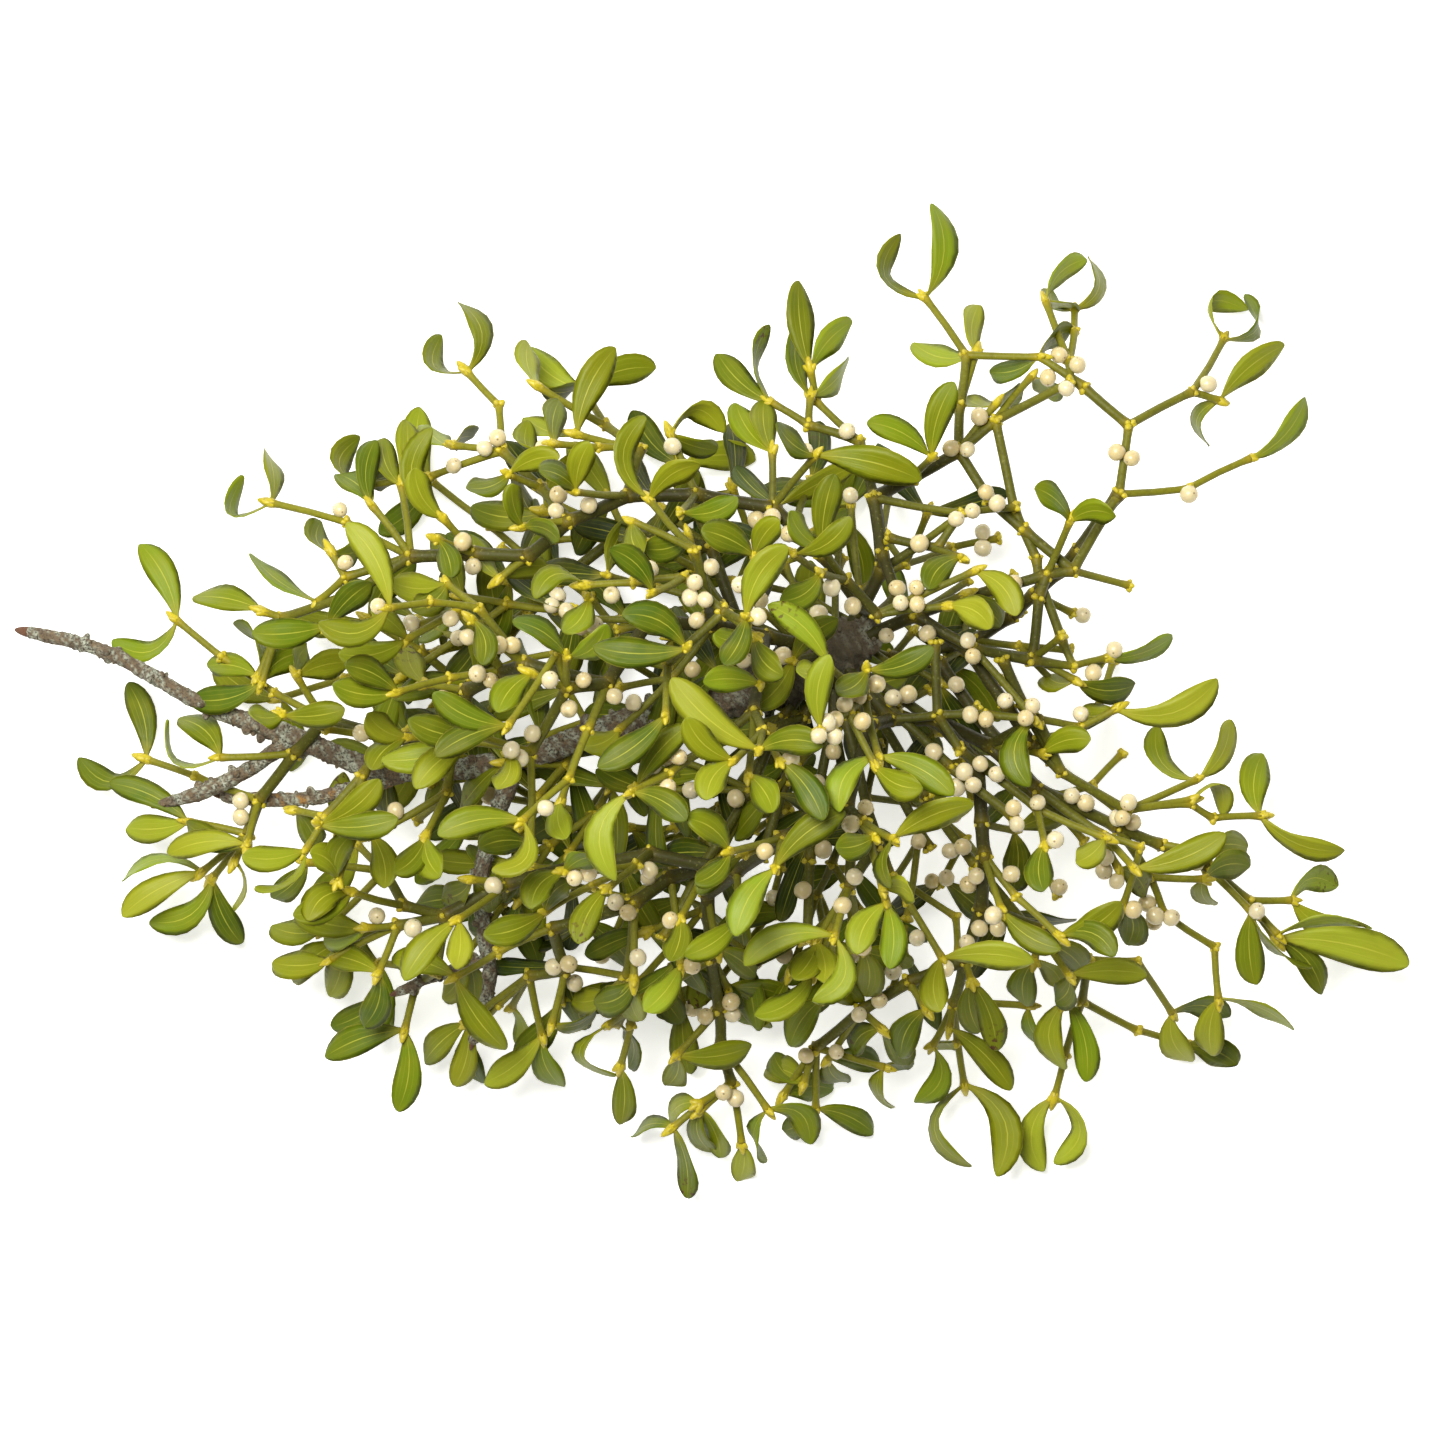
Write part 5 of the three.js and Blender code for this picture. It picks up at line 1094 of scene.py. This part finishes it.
# Tubes from joint to joint: a straight run with a slight sine bow, radius blended from end to end
# and swollen by exp(-(distance to joint / reach) squared)
def stemTubes(index):
    a, b = knotAt[knotParent[index]], knotAt[index]
    length = np.linalg.norm(b - a, axis=1)
    near = np.minimum(0.14, 3 / length)[:, None]
    zero, half = 0 * near, 0 * near + 0.5
    t = np.hstack([zero, near / 2, near, 2 * near, half, 1 - 2 * near, 1 - near, 1 - near / 2,
                   zero + 1])
    u, v = acrossOf(unit(b - a))
    bow = (stemLook["bow"] * length * (2 * hashes(len(index), 11) - 1))[:, None, None]
    centres = a[:, None] + (b - a)[:, None] * t[..., None] + u[:, None] * bow * np.sin(
        np.pi * t)[..., None]
    first = np.minimum(knotRadius[knotParent[index]], knotRadius[index] * 1.1)[:, None]
    last = knotRadius[index][:, None]
    swell = lambda apart: np.exp(-(apart * length[:, None] / stemLook["reach"]) ** 2)
    joint = swell(1 - t) + 0.6 * swell(t)
    radii = np.minimum(stemLook["thickest"], (first + (last - first) * t) * stemLook["girth"])
    radii = radii * (1 + stemLook["swell"] * joint)
    places = ringPlaces(centres, radii, u, v, stemLook["sides"])
    spread = lambda x: np.concatenate(
        [np.repeat(x, stemLook["sides"], axis=1), x[:, :1], x[:, -1:]], axis=1)
    ageAndShade = ageAndShadeOf(radii, centres, stemLook["youngTube"])
    fresh = np.minimum(joint, 1) * (1 - 0.7 * ageAndShade)
    return places, {"ageAndShade": spread(ageAndShade), "joint": spread(fresh)}


# Seed-shaped lumps: centre + axis * length * cos, radius * sin(angle) to the 0.85, narrower
# towards the tip
def lumps(centres, axes, radii, lengths, rows, sides, point):
    angle = np.linspace(0, np.pi, rows + 2)[1:-1]
    run = -np.cos(angle)
    u, v = acrossOf(axes)
    middles = centres[:, None] + axes[:, None] * (run[None] * lengths[:, None])[..., None]
    girth = radii[:, None] * (np.sin(angle) ** 0.85 * (1 - point * run))[None]
    places = ringPlaces(middles, girth, u, v, sides)
    places[:, -2] = centres - axes * lengths[:, None]
    places[:, -1] = centres + axes * lengths[:, None]
    return places


# Centres, axes, radii and lengths of the lumps at each joint or tip; each way is a direction, mm
# out from the joint, girth and length
def budSpots(index):
    spots = []
    for i in index:
        at, axis = knotAt[i], unit(knotAt[i] - knotAt[knotParent[i]])
        radius, tip = min(stemLook["thickest"] / 1.3, knotRadius[i]), knots[i]["leaves"] is not None
        if tip:
            levels, rows = leafRows(knots[i]["leaves"])
            way = unit(np.array([*(rows[0][:2] - at[:2]), 0.0]))
            cross = unit(np.cross(axis, way) + 1e-6)
            ways = [(axis, 2.4, 0.95, 1.45), (axis + cross, 1.6, 0.85, 0.95),
                    (axis - cross, 1.6, 0.85, 0.95), (axis + way, 1.5, 0.65, 0.7)]
        else:
            u, v = (w[0] for w in acrossOf(axis[None]))
            turns = chance(i, 3) * 6.3 + np.array(stemLook["budTurns"])
            ways = [(axis * 0.3 + u * np.cos(w) + v * np.sin(w), radius * 1.3, 0.72, 0.5)
                    for w in turns]
        for k, (way, out, girth, length) in enumerate(ways):
            size = 0.8 + 0.4 * chance(i * 7 + k, 2)
            spots.append([*(at + unit(way) * out), *unit(way), stemLook["budRadius"] * size * girth,
                          stemLook["budLength"] * size * length])
    return np.array(spots)


def stemPieces():  # one piece of tubes and knuckles and one of buds to each limb of the burl
    for number, limb in enumerate(sorted(set(limbOf[1:])), start=1):
        index = np.nonzero(limbOf == limb)[0]
        index = index[index > 0]
        nodes = sorted({pieces[knots[i]["piece"]]["node"] for i in index})
        tubes, values = stemTubes(index)
        forks = index[np.array([knots[i]["kids"] > 0 for i in index])]
        radii = np.minimum(stemLook["thickest"], knotRadius[forks] * stemLook["girth"])
        radii = radii * stemLook["knuckle"]
        axes = unit(knotAt[forks] - knotAt[knotParent[forks]])
        knuckles = lumps(knotAt[forks], axes, radii, radii * stemLook["knuckleLong"], 4, 8, 0.0)
        ageAndShade = ageAndShadeOf(radii, knotAt[forks], stemLook["youngJoint"])
        wide = lambda numbers: np.repeat(numbers, knuckles.shape[1])
        allValues = {"ageAndShade": np.concatenate([values["ageAndShade"].ravel(), wide(ageAndShade)]),
                     "joint": np.concatenate([values["joint"].ravel(), wide(1 - 0.7 * ageAndShade)])}
        faceSets = lumpPart(tubes, 9, stemLook["sides"])
        faceSets += [(faces + tubes.shape[0] * tubes.shape[1], shares)
                     for faces, shares in lumpPart(knuckles, 4, 8)]
        places = np.concatenate([tubes.reshape(-1, 3), knuckles.reshape(-1, 3)])
        makePiece(f"stems_{number}", places, faceSets, allValues, greenStem, nodes)
        spots = budSpots(index)
        buds = lumps(spots[:, :3], spots[:, 3:6], spots[:, 6], spots[:, 7], 4, 6, 0.4)
        makePiece(f"buds_{number}", buds, lumpPart(buds, 4, 6), {}, goldenBud, nodes)
    print("stems and buds on", number, "limbs")


stemPieces()

berryLook = {
    "radius": 4.3,
    "rows": 8,
    "sides": 12,
    "stretch": 1.04,
    "inside": 0.05,  # share of inner joints that carry berries
    "depth": 0.05,  # how much height counts against a miss in plan
    "lift": 4,  # mm a berry may stand off its stem to clear a leaf
    "sunk": 0.93,  # share of its radius between a berry's middle and its stem's skin
    "missCost": 0.15,
    "leafNear": 6,  # mm in plan within which a leaf covers a berry
    "overLeaf": 0.8,  # share of its radius that a lifted berry's middle stands over the leaf
    "pairOut": 4,  # mm in plan from a joint to the berries of its pair
    "smallest": 0.9,  # share of the radius, and how much more by chance
    "bigger": 0.16,
    "rounds": 30,  # small pushes that part berries that meet
    "push": 0.25,
    "apart": 1.9,  # radii between the middles of two berries, at least
}


# Each berry rests against the stem nearest to it in plan, the higher the better: on top of the
# stem where the two cross, at its side where they don't, and lifted a little past a leaf if it can
def berrySpots(wanted, reach):
    last = knotAt[np.maximum(knotParent, 0)]
    share = np.linspace(0, 1, 7)[None, 1:, None]
    stem = (last[1:, None] * (1 - share) + knotAt[1:, None] * share).reshape(-1, 3)
    owner = np.repeat(np.arange(1, len(knotAt)), 6)
    contact = np.repeat(knotRadius[1:], 6) + berryLook["radius"] * berryLook["sunk"]
    miss = np.linalg.norm(wanted[:, None] - stem[None, :, :2], axis=2)
    beyond = np.maximum(0, miss - contact[None])
    cost = beyond + berryLook["missCost"] * miss - berryLook["depth"] * stem[None, :, 2]
    best = np.argmin(cost, axis=1)
    touch, off = contact[best], np.minimum(miss[np.arange(len(best)), best], contact[best])
    way = unit(wanted - stem[best, :2]) * off[:, None]
    at = np.column_stack([stem[best, :2] + way, stem[best, 2] + np.sqrt(touch**2 - off**2)])
    away = np.linalg.norm(at[:, None, :2] - leafTops[None, :, :2], axis=2)
    cover = np.where(away < berryLook["leafNear"], leafTops[None, :, 2], -99).max(axis=1)
    cover = cover + berryLook["radius"] * berryLook["overLeaf"]
    rise = np.clip(cover - at[:, 2], 0, None)
    at[:, 2] += np.where(rise < reach, rise, 0)
    return at, owner[best]


def partBerries(at):  # berries that meet push each other apart, a little at a time
    for _ in range(berryLook["rounds"]):
        gap = at[:, None] - at[None]
        apart = np.linalg.norm(gap, axis=2) + np.eye(len(at)) * 99
        short = np.maximum(0, berryLook["apart"] * berryLook["radius"] - apart)
        push = short * berryLook["push"]
        at = at + (gap / apart[..., None] * push[..., None]).sum(axis=1)
    return at


def berryPieces():  # the placed berries, then pairs at some inner joints, one piece to a limb
    at, owner = berrySpots(np.array(berryTable, float), berryLook["lift"])
    inside = [i for i, knot in enumerate(knots)
              if knot.get("inner") and chance(i, 33) < berryLook["inside"]]
    out = berryLook["pairOut"]
    around = np.array([[knots[i]["at"][0] + out * np.cos(w), knots[i]["at"][1] + out * np.sin(w)]
                       for i in inside for w in (6.3 * chance(i, 34), 6.3 * chance(i, 34) + 2.6)])
    more, moreOwner = berrySpots(around, 0)
    at = partBerries(np.concatenate([at, more]))
    owner = np.concatenate([owner, moreOwner])
    lean = np.column_stack([hashes(len(at), k) - 0.5 for k in (21, 22, 23)])
    axes = unit(unit(at - knotAt[owner]) * 0.5 + 1.8 * lean + np.array([0, 0, 0.3]))
    varies = berryLook["smallest"] + berryLook["bigger"] * hashes(len(at), 24)
    size = berryLook["radius"] * varies
    ripe = hashes(len(at), 25)
    limbs = limbOf[owner]
    for number, limb in enumerate(sorted(set(limbs)), start=1):
        mine = limbs == limb
        places = lumps(at[mine], axes[mine], size[mine], size[mine] * berryLook["stretch"],
                       berryLook["rows"], berryLook["sides"], 0.03)
        nodes = sorted({pieces[knots[i]["piece"]]["node"] for i in owner[mine]})
        polar = np.concatenate([np.repeat(np.arange(1, berryLook["rows"] + 1), berryLook["sides"])
                                / (berryLook["rows"] + 1), [0, 1]])
        values = {"ripe": np.repeat(ripe[mine], places.shape[1]),
                  "polar": np.tile(polar, len(places))}
        makePiece(f"berries_{number}", places,
                  lumpPart(places, berryLook["rows"], berryLook["sides"]), values, pearlBerry,
                  nodes)
    print("berries:", len(at))


berryPieces()

hostLook = {
    "sides": 28,
    "step": 1.3,  # mm between rings
    "knobs": 0.1,  # share of the radius that broad lumps stand out
    "grain": 0.12,  # and fine ones
    "pores": 0.04,  # and the finest
    "spurs": 190,  # short side knobs and scars
    "burlRadius": 8.5,  # where the twig turns into dark burl
    "burlKnots": 1.9,  # mm its knots stand out
    "burlBlend": 4,  # mm of radius over which the twig turns into it
    "trim": 4,  # rings left off the free end, for its bud
    "rustyLimb": 2,  # the limb with rust-coloured lichen all along
    "lessRust": 0.12,  # share of it on the others, and on the spurs
    "spurRust": 0.2,
    "endBud": (2.5, 5),  # radius and half length of the biggest end bud
    "endSizes": (1.0, 0.55, 0.6, 0.5, 0.5),
}


# Smooth noise: a sum of sines in fixed directions, from about -1 to 1
def softNoise(places, size, use):
    total = 0
    for k in range(7):
        way = np.array([chance(k, use + j) - 0.5 for j in range(3)])
        way = way / np.linalg.norm(way) * (1 + 0.35 * k) / size
        total = total + np.sin(places @ way * 6.28 + chance(k, use + 5) * 6.28) / (1 + 0.3 * k)
    return total / 2.6


def smoothPath(limb):  # evenly spaced places on a Catmull-Rom curve through the limb's rows
    limb = np.array(limb, float)
    points = np.vstack([2 * limb[:1] - limb[1:2], limb, 2 * limb[-1:] - limb[-2:-1]])
    t = np.linspace(0, 1, 24, endpoint=False)[:, None]
    runs = []
    for i in range(len(limb) - 1):
        a, b, c, d = points[i:i + 4]
        runs.append(0.5 * (2 * b + (c - a) * t + (2 * a - 5 * b + 4 * c - d) * t**2
                           + (3 * b - a - 3 * c + d) * t**3))
    fine = np.vstack([*runs, limb[-1:]])
    travel = np.concatenate([[0], np.cumsum(np.linalg.norm(np.diff(fine[:, :3], axis=0), axis=1))])
    even = np.linspace(0, travel[-1], int(travel[-1] / hostLook["step"]))
    return np.column_stack([np.interp(even, travel, fine[:, k]) for k in range(4)])


# Spurs: small lumps half sunk in a twig, spread along it by repeatable chance and turned outwards
def hostSpurs(paths):
    whole = np.concatenate([path[2:-2] for path in paths])
    axis = unit(np.concatenate([path[3:-1, :3] - path[1:-3, :3] for path in paths]))
    count = hostLook["spurs"]
    pick = (hashes(count, 71) * len(whole)).astype(int)
    u, v = acrossOf(axis[pick])
    turn = 6.28 * hashes(count, 72)[:, None]
    lean = 0.5 * axis[pick] * (hashes(count, 73)[:, None] - 0.5)
    way = unit(u * np.cos(turn) + v * np.sin(turn) + lean)
    radius = whole[pick, 3]
    size = (0.8 + 2.0 * hashes(count, 74)**2) * np.minimum(1.3, 0.55 + radius / 9)
    at = whole[pick, :3] + way * (radius * 0.94)[:, None]
    return lumps(at, way, size * 1.15, size * (1 + 0.9 * hashes(count, 75)), 5, 8, 0.2)


def burlShare(girth):  # 0 on the twig rising to 1 on the burl
    return np.clip((girth - hostLook["burlRadius"]) / hostLook["burlBlend"], 0, 1)


# Bark: rings along each limb, every spoke scaled by 1 + the sum of its noises, plus the burl's
# knots; then the spurs and the end buds
def hostBranch():
    quadSets, places, start = [], [], 0
    values = {"lichen": [], "rust": [], "burl": [], "bud": []}
    paths = [smoothPath(limb) for limb in hostLimbs]
    paths[0] = paths[0][hostLook["trim"]:]

    def add(whole, faceSets, rusty, girth, bud):
        nonlocal start
        quadSets.extend((faces + start, shares) for faces, shares in faceSets)
        crust = softNoise(whole, 4.6, 51) * 0.8 + softNoise(whole, 17, 55) * 0.7
        values["lichen"].append(np.clip(crust * 1.5 + 0.15, 0, 1) * (1 - bud))
        values["rust"].append(np.clip(softNoise(whole, 7, 61) * 2 - 0.3, 0, 1) * rusty * (1 - bud))
        values["burl"].append(burlShare(girth))
        values["bud"].append(np.full(len(whole), bud))
        places.append(whole)
        start += len(whole)

    for number, path in enumerate(paths):
        ends = np.minimum(np.arange(len(path)), np.arange(len(path))[::-1])
        taper = np.minimum(1, ends / 2.2 + 0.35)
        rings = sweepPath(path[:, :3], path[:, 3] * taper, hostLook["sides"])
        spoke = rings - path[:, None, :3]
        lump = (1 + hostLook["knobs"] * softNoise(rings, 21, 31)
                + hostLook["grain"] * softNoise(rings, 4.2, 37)
                + hostLook["pores"] * softNoise(rings, 1.9, 43))
        dark = burlShare(path[:, 3]) * hostLook["burlKnots"]
        knotty = softNoise(rings, 7, 81) + 0.6 * softNoise(rings, 3.6, 85)
        lump = lump + (dark / path[:, 3])[:, None] * np.maximum(knotty, -0.5)
        rings = path[:, None, :3] + spoke * lump[..., None] * 0.98
        whole = np.concatenate([rings.reshape(-1, 3), path[:1, :3], path[-1:, :3]])
        girth = np.concatenate([np.repeat(path[:, 3], hostLook["sides"]), path[[0, -1], 3]])
        quads, quadShares, fans, fanShares = ringFaces(len(path), hostLook["sides"])
        rusty = 1.0 if number == hostLook["rustyLimb"] else hostLook["lessRust"]
        add(whole, [(quads, quadShares), (fans, fanShares)], rusty, girth, 0.0)
    spurs, every = hostSpurs(paths), np.concatenate(paths)
    corners = spurs.reshape(-1, 3)
    away = np.linalg.norm(corners[:, None] - every[None, ::6, :3], axis=2)
    spurGirth = every[np.argmin(away, axis=1) * 6, 3]
    add(corners, lumpPart(spurs, 5, 8), hostLook["spurRust"], spurGirth, 0.0)
    ends = np.array([paths[0][0, :3]] + [path[-1, :3] for path in paths[1:]])
    inward = np.array([paths[0][2, :3]] + [path[-3, :3] for path in paths[1:]])
    ways, sizes = unit(ends - inward), np.array(hostLook["endSizes"])
    radius, length = hostLook["endBud"]
    buds = lumps(ends + ways * 0.6, ways, radius * sizes, length * sizes, 6, 10, 0.4)
    add(buds.reshape(-1, 3), lumpPart(buds, 6, 10), 0.0, np.zeros(buds[..., 0].size), 1.0)
    values = {key: np.concatenate(rows) for key, rows in values.items()}
    makePiece("host_branch_bark", np.concatenate(places), quadSets, values, lichenedBark,
              ["host_branch"])
    print("host branch: corners", start)


hostBranch()

studio = {
    "distance": 6.0,
    "viewWidth": 0.715,
    "centre": (0.001, -0.0065),
    "key": 126.0,
    "keyAt": (-0.6, 0.75, 2.6),
    "keyAim": (0, 0, 0.1),
    "keySize": 1.5,
    "floorHalf": 4,
    "fill": 0.25,
    "floorGlow": 0.6,  # the floor is a lit table, so little shadow falls on it
}


def areaLight(name, place, aim, size, power, colour):  # a round lamp turned towards its aim
    lamp = bpy.data.lights.new(name, "AREA")
    lamp.shape, lamp.size, lamp.energy, lamp.color = "DISK", size, power, colour
    holder = put(name, lamp)
    holder.location = place
    way = np.array(aim, float) - np.array(place, float)
    holder.rotation_euler = Vector(way).to_track_quat("-Z", "Y").to_euler()


def setStage():  # floor, sky, lamp and the camera straight above
    scene = bpy.context.scene
    mesh = bpy.data.meshes.new("floor")
    h = studio["floorHalf"]
    mesh.from_pydata([(-h, -h, 0), (h, -h, 0), (h, h, 0), (-h, h, 0)], [], [(0, 1, 2, 3)])
    floor = put("floor", mesh)
    paper = Finish("palePaper")
    paper.give({"Base Color": (0.95, 0.95, 0.95, 1), "Roughness": 0.8,
                "Emission Color": (1, 1, 1, 1), "Emission Strength": studio["floorGlow"]})
    mesh.materials.append(paper.material)
    world = bpy.data.worlds.new("studio")
    world.use_nodes = True
    world.node_tree.nodes["Background"].inputs[0].default_value = (1, 0.98, 0.93, 1)
    world.node_tree.nodes["Background"].inputs[1].default_value = studio["fill"]
    scene.world = world
    areaLight("softKey", studio["keyAt"], studio["keyAim"], studio["keySize"], studio["key"],
              (1, 0.985, 0.95))
    camera = bpy.data.cameras.new("camera")
    camera.sensor_width = 36
    camera.lens = 36 * studio["distance"] / studio["viewWidth"]
    camera.clip_end = 50
    holder = put("camera", camera)
    holder.location = (*studio["centre"], studio["distance"])
    scene.camera = holder
    scene.view_settings.view_transform = "Standard"


setStage()

print("triangles:", sum(triangleCounts.values()),
      "most in one piece:", max(triangleCounts.values()))
